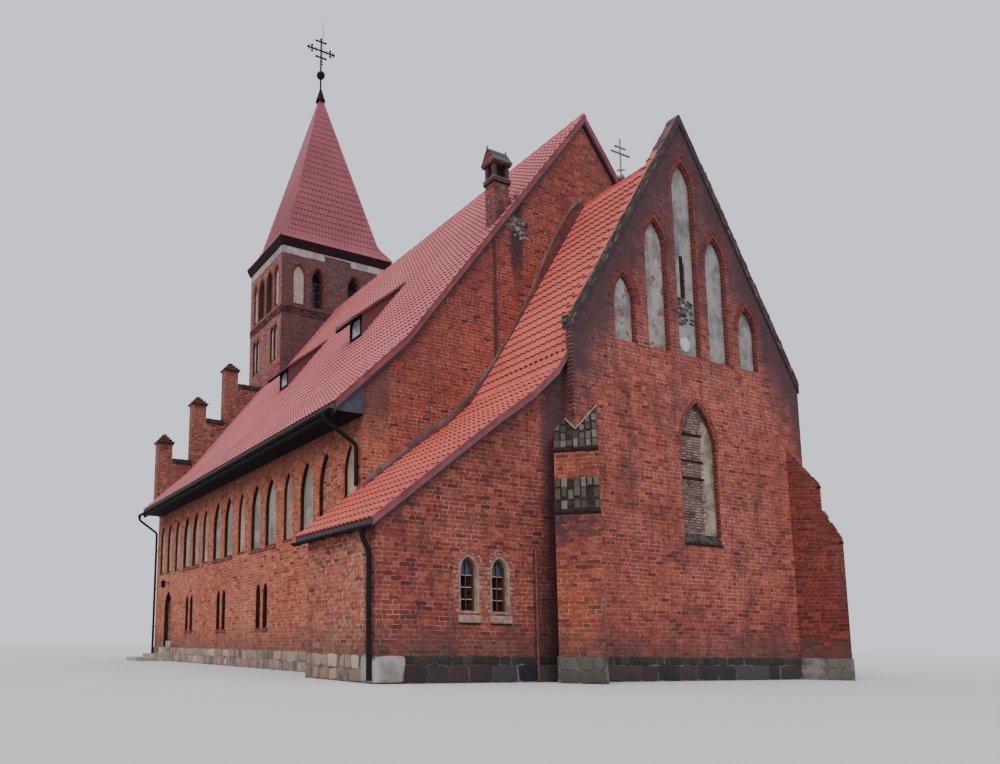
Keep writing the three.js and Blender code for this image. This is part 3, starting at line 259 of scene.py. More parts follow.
# ---------------------------------------------------------------- shared effects
def build_groups():
    # Brick bond: a stretcher and a header take turns in every course
    sheet, inner, outer = new_group("brick_bond", ["Position", "Normal"],
        {"Wobble": 0.014, "Joint": JOINT, "Broken": 0.0}, ["Brick", "Chance", "Chance B", "Chance C", "Height"])
    position, normal = inner["Position"], inner["Normal"]
    px, py, pz = sheet.split(position)
    nx, ny, nz = sheet.split(normal)
    flat = sheet.above(sheet.size(nz), 0.9)
    across = sheet.minus(sheet.times(py, nx), sheet.times(px, ny))
    length = sheet.math("SQRT", sheet.plus(sheet.times(nx, nx), sheet.times(ny, ny)))
    across = sheet.math("DIVIDE", across, sheet.most(length, 0.05))
    wave = sheet.minus(sheet.noise(position, 3.1, 2.0), 0.5)
    chip = sheet.minus(sheet.noise(position, 14.0, 3.0), 0.5)
    drift = sheet.times(sheet.minus(sheet.noise(position, 0.8, 1.0), 0.5), 0.05)
    u = sheet.plus(across, sheet.times(px, flat))
    v = sheet.plus(pz, sheet.times(py, flat))
    v = sheet.plus(v, drift)
    row = sheet.math("FLOOR", sheet.math("DIVIDE", v, COURSE))
    in_row = sheet.minus(v, sheet.times(row, COURSE))
    period = STRETCHER + HEADER
    hop = sheet.put("ShaderNodeTexWhiteNoise", noise_dimensions="1D")
    sheet.feed(hop.inputs["W"], row)
    odd = sheet.times(sheet.math("FLOORED_MODULO", row, 2.0), period / 2)
    start = sheet.plus(odd, sheet.times(hop.outputs["Value"], 0.11))
    t = sheet.math("DIVIDE", sheet.plus(u, start), period)
    cell = sheet.math("FLOOR", t)
    along = sheet.times(sheet.minus(t, cell), period)
    is_head = sheet.above(along, STRETCHER)
    x = sheet.minus(along, sheet.times(is_head, STRETCHER))
    width = sheet.plus(sheet.times(is_head, HEADER - STRETCHER), STRETCHER)
    dx = sheet.least(x, sheet.minus(width, x))
    dy = sheet.least(in_row, sheet.minus(COURSE, in_row))
    edge = sheet.least(dx, dy)
    edge = sheet.plus(edge, sheet.times(sheet.plus(wave, chip), inner["Wobble"]))
    edge = sheet.minus(edge, sheet.times(inner["Broken"], sheet.between(sheet.noise(position, 7.0, 3.0), 0.5, 0.62)))
    half = sheet.times(inner["Joint"], 0.5)
    brick = sheet.between(edge, sheet.minus(half, 0.0035), sheet.plus(half, 0.0035))
    dice = sheet.put("ShaderNodeTexWhiteNoise", noise_dimensions="3D")
    name = sheet.join(sheet.plus(sheet.times(cell, 2.0), is_head), row, 0.5)
    sheet.feed(dice.inputs["Vector"], name)
    dice_x, dice_y, dice_z = sheet.split(dice.outputs["Color"])
    grain = sheet.noise(position, 42.0, 2.0)
    height = sheet.times(brick, sheet.plus(0.6, sheet.times(dice_z, 0.4)))
    height = sheet.plus(height, sheet.times(grain, 0.25))
    for label, value in (("Brick", brick), ("Chance", dice_x), ("Chance B", dice_y), ("Chance C", dice_z),
            ("Height", height)):
        sheet.feed(outer[label], value)

    # Weathering: tall streaks, broad patches and splash dirt near the ground
    sheet, inner, outer = new_group("weathering", ["Position"], {"Ground": 0.6}, ["Streaks", "Patches", "Splash"])
    position = inner["Position"]
    streaks = sheet.noise(sheet.stretch(position, (2.4, 2.4, 0.22)), 1.6, 4.0, 0.6)
    sheet.feed(outer["Streaks"], sheet.between(streaks, 0.5, 0.72))
    sheet.feed(outer["Patches"], sheet.noise(position, 0.42, 4.0, 0.6))
    depth = sheet.split(position)[2]
    rough_edge = sheet.times(sheet.noise(position, 2.2, 3.0), 1.1)
    above_ground = sheet.minus(sheet.minus(depth, inner["Ground"]), rough_edge)
    sheet.feed(outer["Splash"], sheet.between(above_ground, 0.35, -0.55))

    # Tile tint: broad and fine differences on a fired or coated roof, moss patches and a fine grain
    sheet, inner, outer = new_group("tile_tone", ["Position"], {"Moss": 0.2}, ["Tone", "Moss", "Grain"])
    position = inner["Position"]
    broad = sheet.noise(position, 0.35, 4.0, 0.6)
    fine = sheet.noise(position, 5.5, 3.0, 0.6)
    tone = sheet.plus(sheet.times(broad, 0.6), sheet.times(fine, 0.4))
    sheet.feed(outer["Tone"], tone)
    moss = sheet.between(sheet.noise(position, 1.3, 5.0, 0.65), sheet.minus(0.8, inner["Moss"]), 0.85)
    sheet.feed(outer["Moss"], moss)
    sheet.feed(outer["Grain"], sheet.noise(position, 60.0, 3.0))

    # Plaster: cloudy, stained and flaked through to the brick
    sheet, inner, outer = new_group("old_plaster", ["Position"], {"Flaking": 0.1},
        ["Cloud", "Stain", "Flake", "Height"])
    position = inner["Position"]
    cloud = sheet.noise(position, 1.7, 5.0, 0.6)
    stain = sheet.between(sheet.noise(sheet.stretch(position, (3.0, 3.0, 0.8)), 1.4, 4.0), 0.48, 0.7)
    worn = sheet.noise(position, 3.3, 5.0, 0.62)
    flake = sheet.between(worn, sheet.minus(0.78, inner["Flaking"]), sheet.minus(0.8, inner["Flaking"]))
    height = sheet.minus(sheet.noise(position, 18.0, 4.0), flake)
    for label, value in (("Cloud", cloud), ("Stain", stain), ("Flake", flake), ("Height", height)):
        sheet.feed(outer[label], value)


build_groups()


# ---------------------------------------------------------------- materials
def brick_look(name, bright, mid, dark, joint, burnt, grime, broken=0.0, wobble=0.014, shade=None, pale=0.0,
        stained=0.0):
    """Brick wall finish; shade(sheet, place) may give a darkening mask of its own for one wall, mixed toward the soot
    tint; each mask function says where it is painted shade.
    """
    sheet, place, finish = new_material(name, 0.9, bump=0.55, reach=0.012)
    normal = sheet.put("ShaderNodeNewGeometry").outputs["True Normal"]
    bond = sheet.group("brick_bond", Position=place, Normal=normal, Wobble=wobble, Broken=broken)
    wear = sheet.group("weathering", Position=place)
    light = tuple(c * 1.25 for c in bright)
    tint = sheet.ramp(bond["Chance"], (0.0, tuple(c * 0.8 for c in dark)), (0.3, mid), (0.66, mid), (0.86, bright),
        (1.0, light))
    broad = sheet.between(wear["Patches"], 0.35, 0.65)
    tint = sheet.mix(sheet.times(broad, 0.45), tint, bright)
    mottle = sheet.between(sheet.noise(place, 19.0, 4.0, 0.65), 0.35, 0.7)
    tint = sheet.mix(sheet.times(mottle, 0.6), tint, tuple(c * 0.42 for c in mid))
    scorched = sheet.above(bond["Chance B"], 1.0 - burnt * 0.55)
    tint = sheet.mix(sheet.times(scorched, 0.68), tint, (0.05, 0.02, 0.02))
    if pale:
        bare = sheet.above(bond["Chance C"], 1.0 - pale)
        tint = sheet.mix(sheet.times(bare, 0.6), tint, joint)
    # Painted shade: mortar darkened in patches for the shadow inside hollow, raked-out joints
    hollow_joint_shade = sheet.between(sheet.noise(place, 9.0, 3.0, 0.6), 0.5, 0.6)
    mortar = sheet.mix(sheet.times(hollow_joint_shade, 0.85), joint, tuple(c * 0.2 for c in joint))
    mortar = sheet.mix(sheet.between(wear["Patches"], 0.6, 0.38, 0.0, 0.55), mortar, mid)
    tint = sheet.mix(bond["Brick"], mortar, tint)
    if stained:
        stain = sheet.between(sheet.noise(place, 1.25, 5.0, 0.72), 0.47, 0.64, 0.0, stained)
        tint = sheet.mix(stain, tint, (0.06, 0.027, 0.026))
    # Dark tint of the soot streaks, and of the painted shade that a wall's own mask lays on
    soot = (0.046, 0.03, 0.036)
    tint = sheet.mix(sheet.times(wear["Streaks"], grime), tint, soot)
    tint = sheet.mix(sheet.times(wear["Splash"], 0.5), tint, (0.06, 0.045, 0.04))
    # The wall's own darkening mask: painted shade, soot or moss, as each mask function below says
    if shade:
        tint = sheet.mix(shade(sheet, place), tint, soot)
    finish(tint, height=bond["Height"])


def tile_look(name, bright, mid, moss, lip=0.0, board=False):
    """Roof finish; with a lip value, each tile's own UV paints shade on its front edge and in its valleys, and shade
    with some dirt on its lapped top under the next row; with board, faces that do not face up are painted near black
    as shade.
    """
    sheet, place, finish = new_material(name, 0.5, bump=0.2, reach=0.006)
    tone = sheet.group("tile_tone", Position=place, Moss=moss)
    tint = sheet.mix(sheet.between(tone["Tone"], 0.38, 0.64), mid, bright)
    tint = sheet.mix(sheet.times(tone["Moss"], 0.55), tint, (0.16, 0.1, 0.045))
    # Painted shade from each tile's UV: front edge and valleys, and the lapped top, which also takes some dirt
    if lip:
        across, along, _ = sheet.split(sheet.put("ShaderNodeTexCoord").outputs["UV"])
        front = sheet.between(along, 0.49, 0.42, 0.0, lip)
        lapped = sheet.between(along, 0.86, 1.0, 0.0, lip * 0.7)
        valley = sheet.between(sheet.size(sheet.minus(across, 0.5)), 0.28, 0.5, 0.0, lip * 0.4)
        tint = sheet.mix(sheet.most(valley, sheet.most(front, lapped)), tint, (0.05, 0.02, 0.02))
    # Painted shade: faces that do not face up, the slab's edges and underside, are darkened near black
    if board:
        facing = sheet.split(sheet.put("ShaderNodeNewGeometry").outputs["True Normal"])[2]
        tint = sheet.mix(sheet.math("LESS_THAN", facing, 0.2), tint, (0.03, 0.018, 0.02))
    rough = sheet.plus(0.42, sheet.times(tone["Tone"], 0.25))
    finish(tint, rough, tone["Grain"])


def plaster_look(name, pale, deep, flaking, brick=(0.26, 0.09, 0.06)):
    sheet, place, finish = new_material(name, 0.92, bump=0.5, reach=0.012)
    coat = sheet.group("old_plaster", Position=place, Flaking=flaking)
    tint = sheet.mix(sheet.between(coat["Cloud"], 0.36, 0.62), deep, pale)
    tint = sheet.mix(sheet.times(coat["Stain"], 0.4), tint, tuple(c * 0.5 for c in deep))
    tint = sheet.mix(coat["Flake"], tint, brick)
    finish(tint, height=coat["Height"])


def plain_look(name, tint, deep, roughness, scale=6.0, bump=0.25, metallic=0.0, stretch=(1, 1, 1)):
    sheet, place, finish = new_material(name, roughness, metallic, bump, 0.004)
    grain = sheet.noise(sheet.stretch(place, stretch), scale, 5.0, 0.6)
    tone = sheet.mix(sheet.between(grain, 0.35, 0.68), deep, tint)
    rough = sheet.plus(roughness - 0.1, sheet.times(grain, 0.2))
    finish(tone, rough, sheet.noise(sheet.stretch(place, stretch), scale * 6, 3.0))


def pieces_look(name, tints, roughness, dirty=0.3, dirt=(0.05, 0.04, 0.04)):
    """For bricks, stones and slates made one by one: each island takes its own tint."""
    sheet, place, finish = new_material(name, roughness, bump=0.45)
    island = sheet.put("ShaderNodeNewGeometry").outputs["Random Per Island"]
    last = len(tints) - 1
    tint = sheet.ramp(island, *[(i / last, t) for i, t in enumerate(tints)])
    grain = sheet.noise(place, 21.0, 5.0, 0.65)
    tint = sheet.mix(sheet.between(grain, 0.52, 0.72, 0.0, 0.5), tint, dirt)
    wear = sheet.group("weathering", Position=place)
    tint = sheet.mix(sheet.times(wear["Streaks"], dirty), tint, dirt)
    finish(tint, height=grain)


def glass_look(name, tint, roughness=0.08):
    sheet, place, finish = new_material(name, roughness, bump=0.08, reach=0.01)
    surface = sheet.tree.nodes["Principled BSDF"]
    surface.inputs["IOR"].default_value = 1.5
    haze = sheet.noise(place, 1.4, 2.0)
    finish(sheet.mix(haze, tint, tuple(c * 1.7 for c in tint)), height=sheet.noise(place, 2.0, 2.0))


def gable_shade(sheet, place):
    """Dark upper zone of the chancel gable, heaviest along the rakes."""
    _, y, z = sheet.split(place)
    off = sheet.size(sheet.minus(y, SHIFT.y))
    below = sheet.minus(GABLE_APEX, sheet.plus(z, sheet.times(off, GABLE_RAKE)))
    ragged = sheet.times(sheet.noise(place, 0.9, 4.0, 0.65), 2.6)
    near = sheet.between(sheet.plus(below, ragged), 4.9, 1.9)
    high = sheet.between(sheet.minus(z, ragged), 5.6, 10.8, 0.0, 0.72)
    return sheet.times(sheet.most(near, high), 0.88)


def nave_gable_shade(sheet, place):
    """Soot below the chimney, a dark band down the wall and darkening towards the verge."""
    _, y, z = sheet.split(place)
    y = sheet.minus(y, SHIFT.y)
    off = sheet.size(y)
    below = sheet.minus(NAVE_RIDGE, sheet.plus(z, sheet.times(off, NAVE_PITCH)))
    ragged = sheet.times(sheet.noise(place, 1.3, 4.0, 0.65), 1.2)
    near = sheet.between(sheet.plus(below, ragged), 1.3, 0.3, 0.0, 0.35)
    band = sheet.between(sheet.size(sheet.plus(y, 3.53)), 0.1, 0.04, 0.0, 0.8)
    stain = sheet.size(sheet.plus(y, 2.72))
    reach = sheet.between(z, 10.6, 12.9, 0.08, 0.35)
    smoke = sheet.between(sheet.minus(stain, sheet.times(ragged, 0.18)), reach, 0.0, 0.0, 0.95)
    smoke = sheet.times(smoke, sheet.between(z, 10.2, 12.2))
    low = sheet.between(sheet.plus(below, sheet.times(ragged, 2.4)), 5.5, 1.0, 0.0, 0.4)
    near = sheet.most(near, low)
    return sheet.most(near, sheet.most(band, smoke))


def corner_dirt_and_shade(sheet, place):
    """Black dirt and painted shade where the sacristy's wall runs in behind the buttress, and a painted shadow under
    the verge.
    """
    _, y, z = sheet.split(place)
    y = sheet.plus(sheet.minus(y, SHIFT.y), sheet.times(sheet.noise(place, 2.4, 3.0), 0.5))
    corner = sheet.between(y, -4.72, -4.38, 0.0, 0.8)
    under = sheet.minus(z, sheet.plus(sheet.times(y, 0.8), 10.55))
    return sheet.most(corner, sheet.between(under, -0.5, 0.0, 0.0, 0.75))


def chimney_soot(sheet, place):
    """Soot on the chimney's piers and cap."""
    z = sheet.plus(sheet.split(place)[2], sheet.times(sheet.noise(place, 3.0, 3.0), 0.3))
    piers = sheet.times(sheet.between(z, 14.1, 14.35, 0.0, 0.75), sheet.between(z, 15.05, 14.75))
    return sheet.most(piers, sheet.between(z, 13.9, 13.4, 0.0, 0.3))


def pad_dirt(sheet, place):
    """Dark moss on the buttress front below its lower set-off."""
    z = sheet.split(place)[2]
    ragged = sheet.times(sheet.noise(place, 1.6, 4.0, 0.7), 1.7)
    low = sheet.between(sheet.minus(z, ragged), 1.5, 2.5, 0.0, 0.8)
    patch = sheet.between(sheet.noise(place, 5.0, 4.0, 0.6), 0.4, 0.6, 0.25, 1.0)
    return sheet.times(low, sheet.times(patch, sheet.between(z, 3.95, 3.6)))


def tower_shade(sheet, place):
    """The tower's east face is the darker one."""
    x = sheet.minus(sheet.split(place)[0], SHIFT.x)
    return sheet.between(x, TOWER_EAST - 0.03, TOWER_EAST - 0.015, 0.0, 0.66)


def eave_shade(low, high, most):
    def shade(sheet, place):
        ragged = sheet.times(sheet.noise(place, 1.7, 4.0, 0.6), 0.8)
        return sheet.between(sheet.minus(sheet.split(place)[2], ragged), low, high, 0.0, most)
    return shade


JOINT_PALE = (0.46, 0.22, 0.18)
BRIGHT, MID, DARK = (0.36, 0.092, 0.064), (0.27, 0.062, 0.047), (0.14, 0.032, 0.027)
brick_look("gable", BRIGHT, MID, DARK, JOINT_PALE, 0.1, 0.4, shade=gable_shade, stained=0.5)
brick_look("nave_gable", (0.38, 0.088, 0.058), (0.27, 0.054, 0.042), (0.13, 0.028, 0.025), (0.48, 0.22, 0.185), 0.1,
    0.3, shade=nave_gable_shade)
brick_look("sacristy", (0.31, 0.082, 0.056), (0.215, 0.05, 0.039), (0.1, 0.025, 0.023), (0.44, 0.2, 0.165), 0.14, 0.4,
    shade=corner_dirt_and_shade, stained=0.35)
brick_look("rubble", (0.42, 0.125, 0.078), (0.3, 0.08, 0.052), (0.15, 0.04, 0.03), (0.38, 0.2, 0.145), 0.12, 0.3,
    broken=0.04, wobble=0.035, pale=0.07)
brick_look("long", (0.48, 0.15, 0.085), (0.36, 0.092, 0.056), (0.19, 0.044, 0.032), (0.52, 0.27, 0.2), 0.06, 0.2,
    shade=eave_shade(4.9, 6.6, 0.72))
brick_look("tower", (0.34, 0.12, 0.097), (0.23, 0.076, 0.064), (0.1, 0.032, 0.03), (0.27, 0.15, 0.13), 0.14, 0.3,
    broken=0.02, wobble=0.022, pale=0.05, shade=tower_shade)
brick_look("west", (0.3, 0.11, 0.075), (0.2, 0.065, 0.05), (0.11, 0.034, 0.03), (0.36, 0.22, 0.19), 0.1, 0.35)
brick_look("buttress", (0.33, 0.085, 0.052), (0.22, 0.05, 0.034), (0.11, 0.025, 0.02), (0.36, 0.17, 0.12), 0.1, 0.4,
    wobble=0.02, shade=pad_dirt)
# Painted shade: a darker copy of the buttress bricks for the north-east buttress, whose faces lie in shade
brick_look("buttress_north_shaded", (0.19, 0.04, 0.028), (0.13, 0.026, 0.02), (0.07, 0.015, 0.013), (0.2, 0.085, 0.068), 0.1,
    0.4)
brick_look("chimney", (0.27, 0.07, 0.053), (0.16, 0.04, 0.034), (0.06, 0.018, 0.018), (0.22, 0.12, 0.1), 0.3, 0.55,
    broken=0.03, wobble=0.03, shade=chimney_soot)

# Roof finishes: brightest tint, middle tint, moss and the strength of the painted shade on the tiles' front edges
for roof, bright, mid, moss, lip in (("nave", (0.5, 0.135, 0.135), (0.4, 0.096, 0.098), 0.12, 0.8),
                                     ("chancel", (0.54, 0.105, 0.075), (0.42, 0.07, 0.054), 0.1, 0.74)):
    tile_look(roof + "_tile", bright, mid, moss, lip)
    tile_look(roof + "_sheet", bright, mid, moss)
    tile_look(roof + "_slab", bright, mid, moss, board=True)
tile_look("spire_tile", (0.27, 0.06, 0.074), (0.2, 0.04, 0.05), 0.14, lip=0.8)
tile_look("spire_sheet", (0.28, 0.066, 0.08), (0.21, 0.045, 0.056), 0.14)
tile_look("dormer", (0.13, 0.036, 0.04), (0.1, 0.028, 0.032), 0.05)

# Plaster: pale and deep tint, how much has flaked off, the brick behind
plaster_look("plaster", (0.27, 0.25, 0.235), (0.13, 0.125, 0.125), 0.12)
plaster_look("plaster_worn", (0.31, 0.275, 0.245), (0.15, 0.135, 0.13), 0.21, (0.2, 0.085, 0.07))
plaster_look("plaster_pink", (0.38, 0.27, 0.215), (0.24, 0.165, 0.13), 0.08)
plaster_look("plaster_south", (0.29, 0.25, 0.215), (0.18, 0.155, 0.135), 0.04)
plaster_look("plaster_tower", (0.4, 0.33, 0.29), (0.3, 0.25, 0.22), 0.04)
plaster_look("plaster_cream", (0.34, 0.275, 0.205), (0.15, 0.115, 0.09), 0.16, (0.13, 0.08, 0.065))
plaster_look("frieze", (0.36, 0.3, 0.28), (0.25, 0.2, 0.19), 0.1)

# Plain finishes: tint, deep tint, roughness, scale of the grain, bump, metal, stretch
for row in (
    ("verge", (0.25, 0.069, 0.077), (0.15, 0.045, 0.052), 0.82, 2.0),
    ("verge_edge", (0.27, 0.12, 0.14), (0.18, 0.08, 0.095), 0.6, 3.0),
    # Near black: the dormers' black frames and strips, and the boxed eaves, where the tint also stands for their deep
    # shade (painted shade)
    ("soffit", (0.014, 0.009, 0.01), (0.007, 0.005, 0.006), 0.85, 3.0),
    ("mortar_dark", (0.18, 0.145, 0.13), (0.06, 0.05, 0.046), 0.95, 3.0, 0.5),
    ("mortar", (0.26, 0.22, 0.2), (0.1, 0.085, 0.08), 0.95, 3.0, 0.5),
    ("slab", (0.3, 0.27, 0.24), (0.13, 0.12, 0.11), 0.92, 4.0, 0.5),
    ("cement", (0.4, 0.32, 0.29), (0.24, 0.18, 0.165), 0.95, 9.0, 0.4),
    ("step_stone", (0.42, 0.37, 0.29), (0.24, 0.21, 0.165), 0.92, 4.0, 0.5),
    ("rusty", (0.16, 0.06, 0.045), (0.08, 0.03, 0.025), 0.7, 5.0),
    ("fascia", (0.028, 0.009, 0.011), (0.014, 0.005, 0.006), 0.85, 3.0, 0.25, 0.0, (1, 1, 4)),
    ("metal", (0.016, 0.011, 0.011), (0.008, 0.006, 0.006), 0.85, 4.0),
    ("iron", (0.24, 0.23, 0.22), (0.13, 0.12, 0.115), 0.5, 8.0, 0.25, 0.6),
    ("wood", (0.09, 0.045, 0.034), (0.04, 0.02, 0.016), 0.6, 5.0, 0.25, 0.0, (6, 6, 0.6)),
    ("door_wood", (0.05, 0.022, 0.018), (0.022, 0.01, 0.009), 0.6, 6.0, 0.25, 0.0, (7, 7, 0.5)),
    ("boulder", (0.34, 0.3, 0.28), (0.2, 0.17, 0.16), 0.9, 3.0, 0.4),
    ("sill_pink", (0.34, 0.22, 0.19), (0.2, 0.12, 0.11), 0.9, 9.0, 0.4),
    ("sill_stone", (0.07, 0.064, 0.048), (0.018, 0.017, 0.015), 0.95, 5.0, 0.5),
    ("ledge", (0.07, 0.045, 0.045), (0.035, 0.025, 0.027), 0.95, 6.0, 0.5),
    ("patch", (0.5, 0.49, 0.47), (0.36, 0.35, 0.34), 0.9, 9.0, 0.3),
    # Near black for the painted shade in the reveals of windows, niches and the door
    ("reveal_dark", (0.045, 0.022, 0.018), (0.02, 0.012, 0.01), 0.95, 5.0, 0.4),
    ("reveal_plaster", (0.34, 0.24, 0.17), (0.19, 0.12, 0.085), 0.95, 7.0, 0.4),
    ("chimney_ledge", (0.2, 0.13, 0.125), (0.1, 0.065, 0.06), 0.95, 7.0),
    ("sill_slab", (0.24, 0.085, 0.06), (0.1, 0.04, 0.032), 0.9, 4.0, 0.4),
    # Dark board whose bluish tint is a painted sky reflection
    ("end_board", (0.055, 0.06, 0.085), (0.03, 0.033, 0.05), 0.7, 2.0),
    ("pad_bed", (0.045, 0.032, 0.027), (0.018, 0.013, 0.011), 0.95, 9.0, 0.5),
    # Near black: painted shade in the arrow slit and the blocked window's gaps, and painted shadow under sills and
    # set-offs
    ("slit_dark", (0.02, 0.014, 0.014), (0.01, 0.008, 0.008), 0.95),
    ("light_bars", (0.42, 0.4, 0.37), (0.3, 0.28, 0.25), 0.6),
    ("flashing", (0.14, 0.04, 0.036), (0.075, 0.024, 0.024), 0.85, 7.0, 0.4),
    ("soot", (0.02, 0.016, 0.016), (0.01, 0.01, 0.01), 0.95),
):
    plain_look(*row)

# Bricks, stones and slates made one by one: their tints, roughness, dirt
for row in (
    ("stones", ((0.042, 0.037, 0.043), (0.028, 0.023, 0.026), (0.058, 0.034, 0.032), (0.064, 0.054, 0.06),
     (0.022, 0.019, 0.023), (0.05, 0.037, 0.035)), 0.85, 0.5),
    ("ring", ((0.09, 0.024, 0.022), (0.15, 0.036, 0.03), (0.2, 0.05, 0.038), (0.13, 0.034, 0.028),
     (0.17, 0.042, 0.034)), 0.88, 0.5),
    ("moss", ((0.1, 0.085, 0.068), (0.035, 0.03, 0.026), (0.07, 0.06, 0.046), (0.055, 0.038, 0.032),
     (0.14, 0.12, 0.1)), 0.95, 0.6),
    ("pad_tile", ((0.11, 0.08, 0.07), (0.05, 0.043, 0.033), (0.165, 0.13, 0.115), (0.033, 0.028, 0.022),
     (0.08, 0.058, 0.052), (0.062, 0.058, 0.045)), 0.95, 0.75),
    ("pad_tile_north", ((0.15, 0.1, 0.08), (0.1, 0.075, 0.06), (0.2, 0.13, 0.1), (0.07, 0.05, 0.045)), 0.95, 0.4),
    ("ring_south", ((0.2, 0.055, 0.04), (0.34, 0.1, 0.062), (0.44, 0.155, 0.09), (0.3, 0.09, 0.056)), 0.88, 0.2),
    ("ring_tower", ((0.14, 0.05, 0.042), (0.09, 0.032, 0.028), (0.19, 0.07, 0.056), (0.11, 0.038, 0.033)), 0.9,
     0.5),
    ("ring_window", ((0.24, 0.07, 0.055), (0.34, 0.14, 0.11), (0.2, 0.055, 0.045), (0.4, 0.2, 0.16)), 0.88),
    ("stones_green", ((0.035, 0.038, 0.026), (0.026, 0.023, 0.02), (0.06, 0.045, 0.032), (0.03, 0.03, 0.024)), 0.9),
    ("stones_corner", ((0.11, 0.1, 0.08), (0.065, 0.06, 0.05), (0.15, 0.135, 0.11), (0.085, 0.07, 0.06)), 0.95,
     0.6),
    ("slate", ((0.07, 0.06, 0.062), (0.045, 0.04, 0.042), (0.1, 0.085, 0.08)), 0.8),
    ("string", ((0.045, 0.025, 0.022), (0.11, 0.045, 0.037), (0.03, 0.02, 0.019), (0.08, 0.035, 0.029)), 0.95),
    ("stones_pale", ((0.36, 0.235, 0.165), (0.2, 0.125, 0.095), (0.44, 0.32, 0.24), (0.12, 0.08, 0.065),
     (0.3, 0.215, 0.16), (0.24, 0.17, 0.14)), 0.9, 0.5),
    ("sill", ((0.17, 0.05, 0.045), (0.1, 0.03, 0.03), (0.22, 0.075, 0.06), (0.13, 0.04, 0.04)), 0.85),
    ("rubble_bits", ((0.05, 0.038, 0.038), (0.12, 0.095, 0.09), (0.025, 0.02, 0.02), (0.09, 0.045, 0.04)), 0.95),
    ("step_slate", ((0.04, 0.037, 0.04), (0.025, 0.023, 0.025), (0.06, 0.052, 0.052)), 0.9),
    ("thin_bricks", ((0.2, 0.12, 0.1), (0.28, 0.19, 0.165), (0.14, 0.075, 0.062), (0.24, 0.15, 0.13),
     (0.1, 0.05, 0.045)), 0.95, 0.5),
    ("coping_edge", ((0.14, 0.12, 0.1), (0.08, 0.07, 0.06), (0.19, 0.165, 0.145), (0.1, 0.08, 0.07)), 0.95, 0.6),
    ("cap_tile", ((0.16, 0.07, 0.055), (0.1, 0.075, 0.065), (0.2, 0.1, 0.08), (0.08, 0.06, 0.055)), 0.9),
    ("slate_cap", ((0.13, 0.07, 0.06), (0.08, 0.055, 0.05), (0.17, 0.1, 0.085)), 0.85),
    ("fillet", ((0.16, 0.1, 0.09), (0.2, 0.15, 0.13), (0.12, 0.08, 0.075)), 0.95),
    ("chimney_slate", ((0.075, 0.065, 0.07), (0.045, 0.04, 0.045), (0.12, 0.105, 0.11)), 0.8),
    ("smear", ((0.26, 0.23, 0.22), (0.04, 0.03, 0.032), (0.3, 0.27, 0.26), (0.1, 0.045, 0.04), (0.05, 0.04, 0.04),
     (0.15, 0.12, 0.115)), 0.95, 0.4),
    ("corner_brick", ((0.16, 0.06, 0.048), (0.1, 0.04, 0.036), (0.22, 0.09, 0.068), (0.12, 0.07, 0.06)), 0.92, 0.6),
):
    pieces_look(*row)

glass_look("glass", (0.018, 0.024, 0.035))
glass_look("glass_pale", (0.32, 0.36, 0.42), 0.1)
glass_look("glass_top", (0.03, 0.04, 0.07), 0.12)


# ---------------------------------------------------------------- shape helpers
def deselect():
    if bpy.context.object and bpy.context.object.mode != "OBJECT":
        bpy.ops.object.mode_set(mode="OBJECT")
    bpy.ops.object.select_all(action="DESELECT")


def take(obj):
    deselect()
    obj.select_set(True)
    bpy.context.view_layer.objects.active = obj


def keep(obj, name, look, body=CHURCH, smooth=None):
    """Names a finished piece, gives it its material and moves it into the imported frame."""
    obj.name = name
    obj.data.name = name
    obj.data.transform(MOVE)
    obj.data.materials.clear()
    obj.data.materials.append(mat[look])
    if smooth:
        take(obj)
        bpy.ops.object.shade_smooth_by_angle(angle=math.radians(smooth))
    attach(obj, body)
    return obj


def primitive(add, scale=(1, 1, 1), **settings):
    """One of Blender's mesh primitives, with its place, turn and size applied."""
    deselect()
    add(**settings)
    bpy.context.object.scale = scale
    bpy.ops.object.transform_apply(location=True, rotation=True, scale=True)
    return bpy.context.object


def block(x0, x1, y0, y1, z0, z1):
    return primitive(bpy.ops.mesh.primitive_cube_add, (x1 - x0, y1 - y0, z1 - z0), size=1,
        location=((x0 + x1) / 2, (y0 + y1) / 2, (z0 + z1) / 2))


def apply_modifier(obj, kind, **settings):
    modifier = obj.modifiers.new("step", kind)
    for key, value in settings.items():
        setattr(modifier, key, value)
    take(obj)
    bpy.ops.object.modifier_apply(modifier=modifier.name)
    return obj


def bevelled(obj, width, segments=1):
    return apply_modifier(obj, "BEVEL", width=width, segments=segments, limit_method="ANGLE")


def rounded(x0, x1, y0, y1, z0, z1, width, segments=1):
    return bevelled(block(x0, x1, y0, y1, z0, z1), width, segments)


def lump(width):
    """Rounded unit cube, the model of stones and broken pieces."""
    return rounded(-0.5, 0.5, -0.5, 0.5, -0.5, 0.5, width, 2)


def bar(x, y, z, half_x, half_y, half_z, edge):
    """Block with rounded edges about its centre."""
    return rounded(x - half_x, x + half_x, y - half_y, y + half_y, z - half_z, z + half_z, edge)


def disc(outline):
    """A filled disc whose corners are drawn out to the outline, all of it chosen in edit mode."""
    deselect()
    bpy.ops.mesh.primitive_circle_add(vertices=len(outline), fill_type="NGON")
    obj = bpy.context.object
    for vertex, point in zip(obj.data.vertices, outline):
        vertex.co = point
    bpy.ops.object.mode_set(mode="EDIT")
    bpy.ops.mesh.select_all(action="SELECT")
    return obj


def extruded(obj, push):
    bpy.ops.mesh.extrude_region_move(TRANSFORM_OT_translate={"value": push})
    bpy.ops.mesh.select_all(action="SELECT")
    bpy.ops.mesh.normals_make_consistent(inside=False)
    bpy.ops.object.mode_set(mode="OBJECT")
    return obj


def plate(outline, push):
    return extruded(disc(outline), push)


